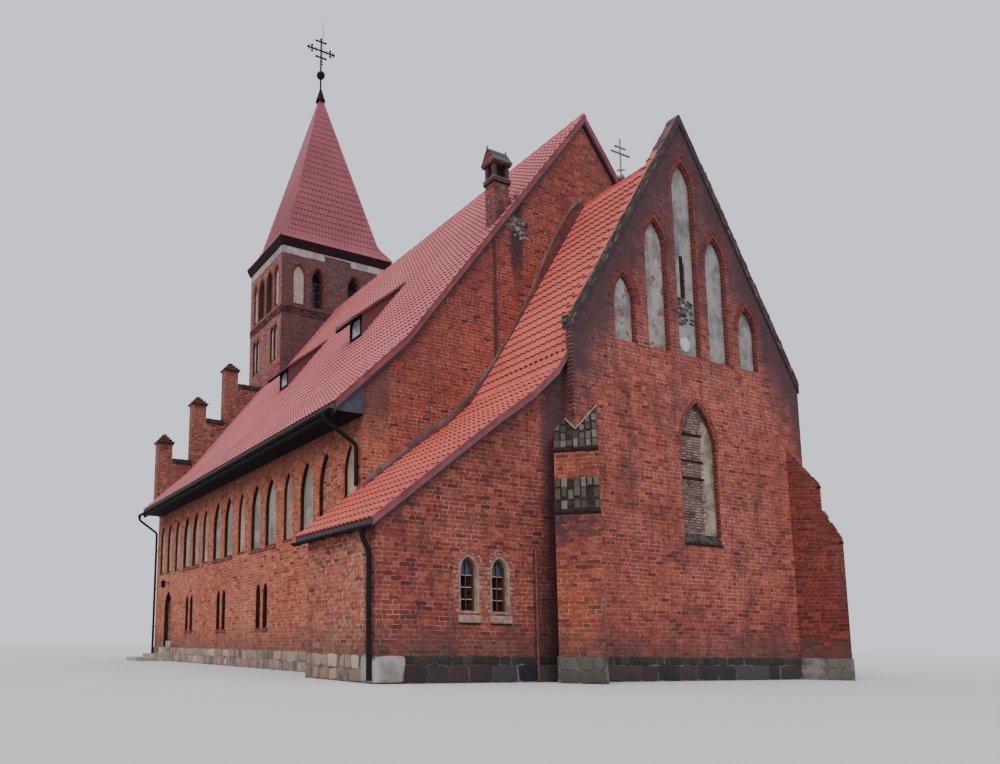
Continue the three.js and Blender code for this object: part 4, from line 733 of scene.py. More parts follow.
def joined(objects):
    deselect()
    for obj in objects:
        obj.select_set(True)
    bpy.context.view_layer.objects.active = objects[0]
    if len(objects) > 1:
        bpy.ops.object.join()
    return bpy.context.view_layer.objects.active


def copy_of(obj, matrix=None):
    twin = bpy.data.objects.new(obj.name + "_copy", obj.data.copy())
    bpy.context.collection.objects.link(twin)
    if matrix is not None:
        twin.data.transform(matrix)
        if matrix.determinant() < 0:
            twin.data.flip_normals()
    return twin


def copies(obj, matrices, keep_first=False):
    """One joined object of a copy at each matrix; the model itself goes."""
    twins = [copy_of(obj, matrix) for matrix in matrices]
    if not keep_first:
        bpy.data.objects.remove(obj)
    return joined(twins)


def cut_away(obj, point, normal):
    """Bisects the mesh and removes what lies on the normal's side."""
    take(obj)
    bpy.ops.object.mode_set(mode="EDIT")
    bpy.ops.mesh.select_all(action="SELECT")
    bpy.ops.mesh.bisect(plane_co=point, plane_no=normal, clear_outer=True)
    bpy.ops.object.mode_set(mode="OBJECT")
    return obj


def frame_of(origin, right, up, out):
    matrix = Matrix((right, up, out)).transposed().to_4x4()
    matrix.translation = origin
    return matrix


def at(x, y, z):
    return Matrix.Translation((x, y, z))


def turned(angle, axis="Z"):
    return Matrix.Rotation(angle, 4, axis)


def sized(x, y, z):
    return Matrix.Diagonal((x, y, z, 1))


def square_to(way, axis):
    """The part of a way at right angles to an axis."""
    return (way - axis * way.dot(axis)).normalized()


MIRROR = Matrix.Scale(-1, 4, (0, 1, 0))


# ---------------------------------------------------------------- roofs
def tile_row(length, lift, step=0.036):
    """One row of waved tiles along X from 0, its upper edge at Y = 1 row and its lip at Y = 0."""
    count = max(1, round(length / TILE_WAVE))
    deselect()
    bpy.ops.mesh.primitive_grid_add(x_subdivisions=6, y_subdivisions=2, size=1)
    tile = bpy.context.object
    for vertex in tile.data.vertices:
        u = vertex.co.x + 0.5
        crown = (0.5 - 0.5 * math.cos(2 * math.pi * u)) ** 1.4 * lift
        level = round((vertex.co.y + 0.5) * 2)
        vertex.co.x = u * length / count
        vertex.co.y = (0.0, 0.0, TILE_ROW * 1.02)[level] - (crown * 0.6 if level < 2 else 0.0)
        vertex.co.z = (crown - 0.012, crown + step, crown + 0.001)[level]
    apply_modifier(tile, "ARRAY", count=count, use_merge_vertices=True, merge_threshold=0.0005,
        relative_offset_displace=(1, 0, 0))
    return tile


def path_points(profile, pitch):
    """Points along a bent line, evenly spaced near the pitch."""
    legs = [(Vector(b) - Vector(a)).length for a, b in zip(profile, profile[1:])]
    total = sum(legs)
    count = max(1, round(total / pitch))
    points = []
    for k in range(count + 1):
        rest = total * k / count
        for (a, b), leg in zip(zip(profile, profile[1:]), legs):
            if rest <= leg + 1e-6:
                points.append(Vector(a).lerp(Vector(b), min(1, rest / leg)))
                break
            rest -= leg
    return points


def tiled_slope(profile, span, name, look, lift=0.042):
    """Rows of tiles along X over a bent slope; profile runs from the eave up in (y, z)."""
    points = path_points(profile, TILE_ROW)
    models = {}
    rows = []
    for low, high in zip(points, points[1:]):
        for west, east in span((low[0] + high[0]) / 2):
            key = round(east - west, 3)
            if key not in models:
                models[key] = tile_row(east - west, lift)
            up = Vector((0, high[0] - low[0], high[1] - low[1]))
            scale = up.length / TILE_ROW
            up.normalize()
            right = Vector((1, 0, 0))
            out = right.cross(up)
            origin = Vector((west, low[0], low[1]))
            if out.z < 0:
                right, out = -right, -out
                origin.x = east
            matrix = frame_of(origin + out * 0.006, right, up * scale, out)
            rows.append(copy_of(models[key], matrix))
    for model in models.values():
        bpy.data.objects.remove(model)
    return keep(joined(rows), name, look, smooth=42)


def nave_roof():
    profile = [(-8.64, NAVE_EAVE[1] + 0.01), (-6.5, 8.75), (-0.06, 17.05)]

    def north_span(y):
        return [(TOWER_EAST + 0.01 if abs(y) < TOWER_HALF else ROOF_WEST, ROOF_EAST)]

    def south_span(y):
        (west, east), = north_span(y)
        if not -4.74 < y < -2.95:
            return [(west, east)]
        return [(west, DORMERS[1] - 0.4), (DORMERS[1] + 0.4, DORMERS[0] - 0.4), (DORMERS[0] + 0.4, east)]

    tiled_slope(profile, south_span, "nave_tiles_south", "nave_tile")
    tiled_slope([(-y, z) for y, z in profile], north_span, "nave_tiles_north", "nave_tile")
    ridge_caps(TOWER_EAST + 0.02, ROOF_EAST, NAVE_RIDGE + 0.02, "nave_ridge_caps", "nave_sheet", 0.1)


def ridge_caps(west, east, z, name, look, radius):
    """Half-round caps that lap along the ridge."""
    count = round((east - west) / 0.42)
    pitch = (east - west) / count
    cap = primitive(bpy.ops.mesh.primitive_cylinder_add, vertices=16, radius=radius, depth=pitch * 1.04,
        end_fill_type="NGON", rotation=(0, math.pi / 2, 0))
    for vertex in cap.data.vertices:
        grow = 1.1 if vertex.co.x > 0 else 0.95
        vertex.co.y *= grow
        vertex.co.z = max(vertex.co.z, -radius * 0.35) * grow * 0.85
    line = [at(west + pitch * (k + 0.5), 0, z) for k in range(count)]
    return keep(copies(cap, line), name, look, smooth=35)


def chancel_roof():
    long_line = [(y, z) for y, z in reversed(LONG_SLOPE)]
    long_line[0] = (-9.42, 3.29)
    long_line[-1] = (-0.05, 14.08)

    def south_span(y):
        east = -0.205 if y > -4.08 else -0.13
        return [(NAVE_EAST + 0.004 if y > -7.8 else -3.776, east)]

    tiled_slope(long_line, south_span, "chancel_tiles_south", "chancel_tile", 0.05)
    tiled_slope([(4.61, 6.9), (0.05, 14.08)], lambda y: [(NAVE_EAST + 0.004, -0.205)], "chancel_tiles_north",
        "chancel_tile", 0.05)
    ridge_caps(NAVE_EAST + 0.02, -0.27, CHANCEL_RIDGE + 0.02, "chancel_ridge_caps", "chancel_sheet", 0.075)


def spire_roof():
    """Four tiled faces with a flatter skirt, cut to the hips, and folded hip caps."""
    foot = (TOWER_EAST + 0.2 - TOWER_MID, TOWER_HALF + 0.2)
    waist = (TOWER_EAST - 0.27 - TOWER_MID, 2.52)
    faces = []
    for turn in range(4):
        reach, middle = (foot[::-1], waist[::-1]) if turn % 2 else (foot, waist)
        points = path_points([(reach[0] - 0.068, SPIRE_FOOT + 0.02), (middle[0], SPIRE_KICK), (0.06, 29.7)], TILE_ROW)
        rows = []
        for low, high in zip(points, points[1:]):
            if low[1] < SPIRE_KICK:
                share = (low[1] - SPIRE_FOOT) / (SPIRE_KICK - SPIRE_FOOT)
                width = reach[1] + (middle[1] - reach[1]) * share + 0.03
            else:
                width = middle[1] * (SPIRE_TIP - low[1]) / (SPIRE_TIP - SPIRE_KICK) + 0.03
            row = tile_row(2 * width, 0.026, 0.018)
            up = Vector((low[0] - high[0], 0, high[1] - low[1]))
            scale = up.length / TILE_ROW
            up.normalize()
            up.x = -up.x
            right = Vector((0, 1, 0))
            out = right.cross(up)
            row.data.transform(frame_of(Vector((low[0], -width, low[1])) + out * 0.004, right, up * scale, out))
            rows.append(row)
        face = joined(rows)
        for side in (-1, 1):
            cut_away(face, (0, 0, 0), Vector((-middle[1], side * middle[0], 0)).normalized())
        face.data.transform(at(TOWER_MID, 0, 0) @ turned(turn * math.pi / 2))
        faces.append(face)
    keep(joined(faces), "spire_tiles", "spire_tile", smooth=42)
    strips = []
    for sx, sy in ((-1, -1), (-1, 1), (1, -1), (1, 1)):
        low = Vector((TOWER_MID + sx * (foot[0] - 0.05), sy * (foot[1] - 0.03), SPIRE_FOOT + 0.04))
        bend = Vector((TOWER_MID + sx * waist[0], sy * waist[1], SPIRE_KICK))
        for a, b in ((low, bend), (bend, Vector((TOWER_MID, 0, SPIRE_TIP)))):
            axis = (b - a).normalized()
            out = square_to(Vector((sx, sy, 0.3)), axis)
            wings = [a + square_to(Vector(way), axis) * 0.12 + out * 0.01 for way in ((0, -sy, 0), (-sx, 0, 0))]
            strips.append(plate([a + out * 0.045, *wings], b - a))
    keep(joined(strips), "spire_hips", "spire_sheet")


def spire_finial():
    """Flared cap over the spire's tip, the ball, and the bars and knobs of the cross."""
    x = TOWER_MID - 0.02
    cap = primitive(bpy.ops.mesh.primitive_cone_add, vertices=12, radius1=0.27, radius2=0.06, depth=0.7,
        location=(x, 0, 30.15))
    for vertex in cap.data.vertices:
        if vertex.co.z < 30:
            vertex.co.z -= 0.02
    keep(joined([bevelled(cap, 0.01), bar(x, 0, 29.78, 0.2, 0.2, 0.02, 0.012)]), "spire_cap_flare", "metal")
    bars = [bar(x, 0, z, 0.03, half, 0.035, 0.006) for half, z in CROSS_BARS]
    bars += [bar(x, y, 32.82, 0.03, 0.035, 0.17, 0.006) for y in (-0.55, 0.55)]
    knobs = [(y, z) for z in (33.355, 32.415) for y in (-0.28, 0.28)]
    knobs += [(0.0, 33.52), (0.0, 32.18), (-0.78, 32.82), (0.78, 32.82)]
    knobs += [(y, z) for y in (-0.55, 0.55) for z in (32.65, 32.99)]
    bars += [bar(x, y, z, 0.045, 0.05, 0.04, 0.006) for y, z in knobs]
    post = primitive(bpy.ops.mesh.primitive_cylinder_add, vertices=10, radius=0.05, depth=3.06,
        location=(x, 0, 31.98))
    bars.append(bevelled(post, 0.006))
    keep(joined(bars), "cross_bars", "metal")
    globe = primitive(bpy.ops.mesh.primitive_uv_sphere_add, segments=20, ring_count=12, radius=0.23,
        location=(x, 0, BALL_AT))
    for vertex in globe.data.vertices:
        vertex.co.z = BALL_AT + (vertex.co.z - BALL_AT) * 0.92
    keep(globe, "finial_ball", "metal", smooth=60)


def verge_boards():
    """Boards along the nave's east verge and the sacristy's verges, with a metal cover and a narrow lower edge."""
    boards, edges = [], []

    def board(x, deep, low, high, drop):
        (y0, z0), (y1, z1) = low, high
        for start, end, set_in, thick, made in ((0.03, -drop + 0.018, 0.0, deep, boards),
                (-drop + 0.016, -drop, -0.004, deep + 0.01, edges), (0.055, 0.03, -0.07, deep + 0.08, boards)):
            face = [Vector((x + set_in, y0, z0 + start)), Vector((x + set_in, y1, z1 + start)),
                Vector((x + set_in, y1, z1 + end)), Vector((x + set_in, y0, z0 + end))]
            made.append(plate(face, Vector((thick, 0, 0))))

    for side in (-1, 1):
        line = [(0.0, 17.14), (side * 6.5, 8.76), (side * 8.62, 6.71)]
        for low, high in zip(line, line[1:]):
            board(-3.37, 0.05, low, high, 0.165)
    line = [(-CHANCEL_SOUTH - 0.012, 7.72)] + [(y, z) for y, z in LONG_SLOPE if y < -4.3]
    for low, high in zip(line, line[1:]):
        board(-0.15, 0.04, low, high, 0.115)
    board(-3.79, 0.04, (-7.82, 4.531), LONG_SLOPE[-1], 0.155)
    keep(joined(boards), "verge_boards", "verge")
    keep(joined(edges), "verge_edges", "verge_edge")


# ---------------------------------------------------------------- openings, niches and brick trim
class Wall:
    """A wall face seen from outside: u to the right, v up, w out of the wall along (dx, dy)."""

    def __init__(self, x, y, dx, dy):
        size = math.hypot(dx, dy)
        dx, dy = dx / size, dy / size
        self.turn = frame_of(Vector((x, y, 0)), (-dy, dx, 0), (0, 0, 1), (dx, dy, 0))

    def place(self, obj):
        obj.data.transform(self.turn)
        return obj


EAST = Wall(0, 0, 1, 0)
SOUTH = Wall(0, -NAVE_HALF, 0, -1)
WEST = Wall(NAVE_WEST, 0, -1, 0)
SACRISTY = Wall(SACRISTY_EAST, 0, 1, 0)
TOWER_FACES = (Wall(TOWER_EAST, 0, 1, 0), Wall(TOWER_MID, -TOWER_HALF, 0, -1), Wall(TOWER_WEST, 0, -1, 0),
    Wall(TOWER_MID, TOWER_HALF, 0, 1))


def arc_of(width, rise, grow=0.0):
    half = width / 2
    offset = (rise * rise - half * half) / (2 * half)
    reach = offset + half + grow
    return offset, reach, math.acos(max(-1, min(1, offset / reach)))


def lancet_outline(width, sill, apex, rise, grow=0.0, steps=7):
    offset, reach, sweep = arc_of(width, rise, grow)
    spring = apex - rise
    angles = [sweep * k / steps for k in range(steps + 1)]
    left = [(offset - reach * math.cos(a), spring + reach * math.sin(a)) for a in angles]
    right = [(-u, v) for u, v in reversed(left[:-1])]
    edge = width / 2 + grow
    return [(-edge, sill)] + left + right + [(edge, sill)]


def lancet_stations(width, sill, apex, rise, grow=0.0, pitch=COURSE, parts="all"):
    """Middle and outward angle of each brick up one jamb, over the arch and down the other."""
    offset, reach, sweep = arc_of(width, rise, grow)
    spring = apex - rise
    line = []
    if parts != "jambs":
        count = max(2, round(reach * sweep / pitch))
        for k in range(count):
            a = math.pi - sweep * (k + 0.5) / count
            line.append((offset + reach * math.cos(a), spring + reach * math.sin(a), a))
    if parts != "arch":
        count = max(1, round((spring - sill) / pitch))
        step = (spring - sill) / count
        line += [(-width / 2 - grow, sill + step * (k + 0.5), math.pi) for k in range(count)]
    return line + [(-u, v, math.pi - a) for u, v, a in line]


def brick_chain(stations, length, deep, thick, level, centre=0.0, worn=0.004, chip=0.006):
    model = rounded(-length / 2, length / 2, -deep / 2, deep / 2, -thick / 2, thick / 2, chip)
    spots = []
    for u, v, a in stations:
        radial = Vector((math.cos(a), math.sin(a), 0))
        along = Vector((math.sin(a), -math.cos(a), 0))
        slack = draw.uniform(-worn, worn)
        spot = frame_of(Vector((u + centre, v, level + slack)), along, radial, Vector((0, 0, 1)))
        spots.append(spot @ turned(draw.uniform(-0.02, 0.02)))
    return copies(model, spots)


def panel(outline, level, thick, centre=0.0):
    return plate([(u + centre, v, level) for u, v in outline], Vector((0, 0, -thick)))


def hollow_frame(outline, width, level, thick, centre=0.0):
    """Flat outline inset by the frame's width, its middle taken out, then given its thickness."""
    obj = disc([(u + centre, v, level) for u, v in outline])
    bpy.ops.mesh.inset(thickness=width)
    bpy.ops.mesh.delete(type="FACE")
    bpy.ops.mesh.select_all(action="SELECT")
    return extruded(obj, (0, 0, -thick))


def sill_bricks(width, top, depth, centre=0.0, drop=0.09, fall=0.07, out=0.025, pitch=0.079):
    """Bricks on edge, side by side, sloping from the back of a niche to just proud of the wall."""
    count = max(2, round(width / pitch))
    step = width / count
    run = depth + out
    brick = rounded(-step / 2 + 0.006, step / 2 - 0.006, -drop / 2, drop / 2, -run / 2, run / 2, 0.006)
    tilt = turned(math.atan2(fall, run), "X")
    spots = [at(centre - width / 2 + step * (k + 0.5), top - drop / 2 + draw.uniform(-0.004, 0.004),
        out - run / 2) @ tilt for k in range(count)]
    return copies(brick, spots)


def niche(width, sill, apex, rise, depth, centre, look, group, outer=0.13, step=0.045, jamb=0.07, sill_band=True,
        front=None, ring_look="ring"):
    """Plaster panel, stepped inner ring, toothed jambs, voussoirs and sill of one blind niche."""
    level = -depth + 0.022 if front is None else front
    outline = lancet_outline(width - 0.01, sill + 0.005, apex - 0.01, rise - 0.008)
    group[look].append(panel(outline, level, depth + level - 0.006, centre))
    inner = lancet_stations(width, sill, apex, rise, -jamb / 2 + 0.003)
    deep = -level - step + (0.0 if front is None else 0.012)
    group[ring_look].append(brick_chain(inner, COURSE - 0.014, jamb, deep, level + deep / 2, centre))
    if outer:
        ring = lancet_stations(width, sill, apex, rise, outer / 2, 0.083, "arch")
        group[ring_look].append(brick_chain(ring, 0.07, outer - 0.012, 0.06, -0.022, centre))
    if sill_band:
        group["sill"].append(sill_bricks(width + 0.02, sill + 0.075, depth - 0.03, centre, out=0.02))
    if front is not None:
        jambs = lancet_stations(width, sill, apex, rise, 0.07, COURSE, "jambs")
        group[ring_look].append(brick_chain(jambs, COURSE - 0.02, 0.115, 0.05, -0.014, centre, 0.006))
        # Painted shade up the left reveal
        shade_reveal_strip(width - 2 * jamb, sill, apex - jamb, rise, -front, centre, group)


def shade_reveal_strip(width, sill, apex, rise, depth, centre, group):
    """Painted shade: a dark strip up the left reveal of an opening and over the left half of its arch, where the
    reveal lies in shadow.
    """
    left = [station for station in lancet_stations(width, sill, apex, rise, -0.007) if station[0] < 0]
    group["reveal_dark"].append(brick_chain(left, COURSE + 0.004, 0.01, depth, -depth / 2, centre, 0.0, 0.002))


def gather(group, wall, prefix, mirrored=False):
    """Joins each look's pieces, sets them on their wall and, if asked, repeats them on the other side."""
    for look, pieces in group.items():
        obj = wall.place(joined(pieces))
        if mirrored:
            keep(copy_of(obj, MIRROR), prefix + "_north_" + look, look)
        keep(obj, prefix + "_" + look, look)


GABLE_NICHES = [(0.0, 0.80, 13.68), (1.13, 0.78, 11.80), (-1.13, 0.78, 11.80), (2.30, 0.74, 10.04),
    (-2.30, 0.74, 10.04)]
GABLE_SILL = 8.26
SLIT_LEFT, SLIT_RIGHT, SLIT_LOW, SLIT_HIGH = -0.13, 0.0, 9.86, 11.04


def gable_niches():
    group = defaultdict(list)
    for centre, width, apex in GABLE_NICHES:
        look = "plaster_worn" if centre < 0 else "plaster"
        niche(width, GABLE_SILL, apex, width, 0.13, centre, look, group, jamb=0.055, step=0.03, sill_band=False)
        ring = lancet_stations(width, GABLE_SILL, apex, width, 0.155, 0.085, "arch")
        group["ring"].append(brick_chain(ring, 0.072, 0.04, 0.05, -0.012, centre))
    # Broken bricks where the plaster has fallen off the middle niche, and a pale patch below them
    brick = rounded(-0.13, 0.13, -0.038, 0.038, -0.02, 0.02, 0.012)
    rubble = []
    for k in range(30):
        spot = at(draw.uniform(-0.27, 0.27), 9.16 + 0.075 * (k // 3) + draw.uniform(-0.03, 0.03),
            -0.1 + draw.uniform(-0.012, 0.012))
        spot = spot @ turned(draw.uniform(-0.16, 0.16)) @ sized(draw.uniform(0.35, 0.8), draw.uniform(0.7, 1.1), 1)
        rubble.append(spot)
    group["rubble_bits"] = [copies(brick, rubble)]
    angles = [math.pi * 2 * k / 22 for k in range(22)]
    patch = [(-0.08 + 0.2 * math.cos(a) * (1 + 0.12 * math.sin(3 * a)), 8.61 + 0.2 * math.sin(a)) for a in angles]
    group["patch"] = [bevelled(panel(patch, -0.088, 0.022), 0.006)]
    # Arrow slit with its rough bricks down one side; its opening is a near-black panel of painted shade
    group["slit_dark"] = [panel([(SLIT_LEFT, SLIT_LOW), (SLIT_LEFT, SLIT_HIGH), (SLIT_RIGHT, SLIT_HIGH + 0.02),
        (SLIT_RIGHT + 0.01, SLIT_LOW + 0.3), (SLIT_RIGHT, SLIT_LOW)], -0.104, 0.03)]
    tooth = rounded(-0.022, 0.022, -0.036, 0.036, -0.012, 0.012, 0.006)
    teeth = [at(SLIT_RIGHT + 0.012 + (0.012 if k % 2 else 0), SLIT_LOW + 0.05 + 0.092 * k, -0.1) for k in range(11)]
    group["ring"].append(copies(tooth, teeth))
    gather(group, EAST, "gable_niche")


BLOCKED_AT, BLOCKED_WIDTH, BLOCKED_APEX, BLOCKED_RISE = 0.11, 1.36, 7.08, 1.25


def blocked_window():
    """Walled-up window: thin courses left of the middle, plaster right, roll mouldings and a sloped sill."""
    group = defaultdict(list)
    ring = lancet_stations(BLOCKED_WIDTH, 3.62, BLOCKED_APEX, BLOCKED_RISE, -0.02)
    group["ring"].append(brick_chain(ring, COURSE - 0.012, 0.07, 0.075, -0.045, BLOCKED_AT, 0.003, 0.016))
    ring = lancet_stations(BLOCKED_WIDTH, 3.6, BLOCKED_APEX, BLOCKED_RISE, 0.055, 0.083, "arch")
    group["ring"].append(brick_chain(ring, 0.074, 0.05, 0.04, -0.008, BLOCKED_AT))
    group["mortar_dark"] = [panel(lancet_outline(1.32, 3.6, 7.04, 1.22), -0.13, 0.09, BLOCKED_AT)]
    outline = lancet_outline(1.3, 3.62, 7.02, 1.2)
    edge = [(0.2 + 0.035 * math.sin(2.7 * k), 3.62 + 0.24 * k) for k in range(13)]
    right = [(u, v) for u, v in outline if u > 0.2 and v < 6.56]
    group["plaster_cream"] = [panel(edge + [(0.3, 6.6)] + right, -0.112, 0.02, BLOCKED_AT)]
    thin = rounded(-0.12, 0.12, -0.026, 0.026, -0.02, 0.02, 0.008)
    courses = []
    for k in range(46):
        v = 3.66 + 0.07 * k
        limit = 0.6 if v < 5.9 else 0.6 - (v - 5.9) * 0.5
        u = -limit + 0.1 + (0.06 if k % 2 else 0)
        while u < (0.22 if v < 6.4 else 0.5 - (v - 6.0) * 0.5):
            spot = at(u + BLOCKED_AT, v, -0.122 + draw.uniform(-0.012, 0.006))
            courses.append(spot @ sized(draw.uniform(0.7, 0.95), 1, 1))
            u += 0.235
    group["thin_bricks"] = [copies(thin, courses)]
    # Painted shade: black rods for the dark gaps in the infill
    rod = rounded(-0.4, 0.4, -0.028, 0.028, -0.02, 0.02, 0.006)
    group["slit_dark"] = [copies(rod, [at(BLOCKED_AT - 0.16, v, -0.105) for v in (6.2, 5.5, 5.05)])]
    group["sill_stone"] = [plate([(BLOCKED_AT - 0.68, 3.70, -0.2), (BLOCKED_AT - 0.68, 3.42, 0.02),
        (BLOCKED_AT - 0.68, 3.36, 0.02), (BLOCKED_AT - 0.68, 3.36, -0.2)], Vector((1.36, 0, 0)))]
    # Painted shadow: a black strip under the sill
    group["slit_dark"].append(rounded(BLOCKED_AT - 0.69, BLOCKED_AT + 0.7, 3.325, 3.37, -0.02, 0.035, 0.01))
    gather(group, EAST, "blocked_window")


PAIRS = (-17.45, -13.68, -9.87, -6.05)
SINGLES = (-15.65, -11.79, -7.94, -4.09)
TRIPLE = (-21.68, -20.55, -19.35)
NICHE_SILL = 3.78
SLIT = (0.34, 1.24, 2.67, 0.3)


def long_wall_niches():
    group = defaultdict(list)
    for centre in PAIRS:
        for side in (-0.61, 0.61):
            look = "rubble" if centre + side == PAIRS[-1] + 0.61 else "plaster_south"
            niche(0.84, NICHE_SILL, 5.96, 0.9, 0.2, centre + side, look, group, outer=0.2, step=0.03, jamb=0.035,
                front=-0.1, ring_look="ring_south")
    for line, width, apex, rise in ((SINGLES, 0.64, 5.90, 0.7), (TRIPLE, 0.66, 6.00, 0.72)):
        for centre in line:
            niche(width, NICHE_SILL, apex, rise, 0.15, centre, "plaster_pink", group, outer=0.13, step=0.02,
                jamb=0.035, front=-0.075, ring_look="ring_south")
    for centre in PAIRS:
        group["sill_slab"].append(bar(centre, 3.725, -0.025, 1.08, 0.035, 0.075, 0.012))
        for middle in (centre - 0.29, centre + 0.29):
            shade_reveal_strip(*SLIT, 0.24, middle, group)
            group["sill_slab"].append(bar(middle, 1.17, -0.0275, 0.22, 0.03, 0.0725, 0.012))
            ring = lancet_stations(*SLIT, 0.07)
            group["ring_south"].append(brick_chain(ring, COURSE - 0.016, 0.12, 0.05, -0.016, middle))
            group["wood"].append(hollow_frame(lancet_outline(0.33, 1.25, 2.66, 0.29), 0.035, -0.26, 0.05, middle))
            group["wood"] += [bar(middle, v, -0.285, 0.14, 0.012, 0.015, 0.003) for v in (1.6, 1.95, 2.3)]
            group["sill"].append(sill_bricks(0.36, 1.27, 0.2, middle, out=0.03))
    gather(group, SOUTH, "long_wall", mirrored=True)


SACRISTY_WINDOWS = (-6.945, -6.110)
SMALL_WINDOW = (0.43, 1.46, 2.68, 0.3)


def sacristy_windows():
    group = defaultdict(list)
    for centre in SACRISTY_WINDOWS:
        group["reveal_plaster"].append(hollow_frame(lancet_outline(*SMALL_WINDOW, 0.055), 0.05, 0.002, 0.02, centre))
        for grow, deep, thick, level, worn, chip in ((0.095, 0.07, 0.05, -0.002, 0.003, 0.016),
                (0.165, 0.055, 0.04, -0.006, 0.004, 0.006)):
            ring = lancet_stations(*SMALL_WINDOW, grow)
            group["ring_window"].append(brick_chain(ring, COURSE - 0.02, deep, thick, level, centre, worn, chip))
        right = [(-u, v, math.pi - a) for u, v, a in lancet_stations(0.43, 1.47, 2.68, 0.3, -0.008) if u < 0]
        group["reveal_plaster"].append(brick_chain(right, COURSE + 0.006, 0.012, 0.1, -0.05, centre, 0.0, 0.002))
        group["wood"].append(hollow_frame(lancet_outline(0.42, 1.48, 2.67, 0.29), 0.05, -0.1, 0.06, centre))
        group["wood"].append(bar(centre, 2.06, -0.1325, 0.012, 0.56, 0.0175, 0.003))
        group["light_bars"] += [bar(centre, v, -0.1325, 0.19, 0.009, 0.0125, 0.003) for v in (1.76, 2.02, 2.28)]
        group["glass_top"].append(panel(lancet_outline(0.36, 2.30, 2.62, 0.26), -0.15, 0.006, centre))
        group["sill_pink"].append(rounded(centre - 0.3, centre + 0.3, 1.25, 1.42, -0.06, 0.06, 0.035, 3))
        # Painted shadow: a black strip under the sill
        group["slit_dark"].append(rounded(centre - 0.27, centre + 0.3, 1.225, 1.262, -0.03, 0.035, 0.01))
    gather(group, SACRISTY, "sacristy_window")


BELFRY_SILL, BELFRY_APEX = 17.05, 19.17


def tower_openings():
    for index, wall in enumerate(TOWER_FACES):
        group = defaultdict(list)
        wide = index % 2 == 0
        measures = (1.0, 0.70, 2.03, 0.70, 0.62) if wide else (0.5, 0.64, 1.35, 0.52, 0.6)
        span, width, blind_at, blind_width, rise = measures
        for side in (-1, 1):
            for grow, deep, level in ((0.065, 0.12, -0.014), (-0.03, 0.05, -0.1)):
                ring = lancet_stations(width, BELFRY_SILL, BELFRY_APEX, rise, grow)
                group["ring_tower"].append(brick_chain(ring, COURSE - 0.016, deep, 0.06, level, side * span))
            outline = lancet_outline(width - 0.1, 17.1, 19.1, rise - 0.03)
            group["wood"].append(hollow_frame(outline, 0.045, -0.2, 0.05, side * span))
            half = width / 2 - 0.07
            group["wood"] += [bar(side * span, v, -0.225, half, 0.015, 0.015, 0.003) for v in (17.5, 17.95, 18.4)]
            niche(blind_width, BELFRY_SILL, BELFRY_APEX, rise, 0.13, side * blind_at, "plaster_tower", group,
                outer=0.12, ring_look="ring_tower")
            if not wide:
                shade_reveal_strip(width, BELFRY_SILL, BELFRY_APEX, rise, 0.19, side * span, group)
        if not wide:
            for middle in (-1.13, 1.13):
                for side in (-0.22, 0.22):
                    niche(0.36, 14.35, 16.15, 0.34, 0.1, middle + side, "plaster_tower", group, outer=0.1, jamb=0.04,
                        ring_look="ring_tower")
                    shade_reveal_strip(0.29, 14.35, 16.1, 0.3, 0.075, middle + side, group)
        gather(group, wall, "tower_" + ("east", "south", "west", "north")[index])


def tower_bands():
    """Pale frieze under the cornice, flaked in places, and the band of rough stone below the windows."""
    frieze, course = [], []
    chunk = lump(0.12)
    for index, wall in enumerate(TOWER_FACES):
        half = TOWER_HALF if index % 2 == 0 else (TOWER_EAST - TOWER_WEST) / 2
        u = -half
        while u < half - 0.05:
            width = min(draw.uniform(0.5, 1.1), half - u)
            gone = index == 0 and -0.9 < u + width / 2 < 0.7
            low = 19.86 if gone else 19.55 + draw.uniform(-0.02, 0.03)
            piece = rounded(u, u + width - 0.006, low, 19.94, -0.01, 0.014, 0.004)
            frieze.append(wall.place(piece))
            u += width
        spots = []
        for row in range(3):
            u = -half - 0.02
            while u < half - 0.06:
                width = draw.uniform(0.14, 0.34)
                width = min(width, half + 0.02 - u)
                v = 16.6 + 0.135 * row + draw.uniform(-0.012, 0.012)
                spot = at(u + width / 2, v, draw.uniform(-0.02, 0.0)) @ turned(draw.uniform(-0.06, 0.06))
                spots.append(spot @ sized(width - 0.02, draw.uniform(0.08, 0.125), 0.07))
                u += width
        course.append(wall.place(copies(chunk, spots, keep_first=True)))
    bpy.data.objects.remove(chunk)
    keep(joined(frieze), "tower_frieze", "frieze")
    keep(joined(course), "tower_string_course", "string")


# ---------------------------------------------------------------- plinth stones
def stone_models(count=5):
    models = []
    for _ in range(count):
        stone = lump(0.16)
        for vertex in stone.data.vertices:
            vertex.co += Vector([draw.uniform(-0.075, 0.075) * (1, 1, 0.5)[axis] for axis in range(3)])
        models.append(stone)
    return models


def stone_run(models, u0, u1, wall, spots, low=0.012, high=PLINTH_TOP, face=0.03, rows=2, widths=(0.26, 0.62),
        relief=0.016):
    """Fieldstones in uneven courses over one stretch of plinth."""
    split = [low + (high - low) * k / rows for k in range(rows + 1)]
    for k in range(rows):
        u = u0
        while u < u1 - 0.02:
            width = draw.uniform(*widths)
            if u1 - u - width < widths[0] * 0.7:
                width = u1 - u
            lift = draw.uniform(-0.03, 0.03) if 0 < k else 0.0
            bottom, top = split[k] + lift, split[k + 1] + (draw.uniform(-0.03, 0.02) if k + 1 < rows else 0.0)
            chosen = spots[draw.randrange(len(models))]
            spot = wall.turn @ at(u + width / 2, (bottom + top) / 2, face - 0.06 + draw.uniform(0, relief))
            spot = spot @ turned(draw.uniform(-0.04, 0.04))
            chosen.append(spot @ sized(width - 0.006, top - bottom - 0.004, 0.12))
            u += width


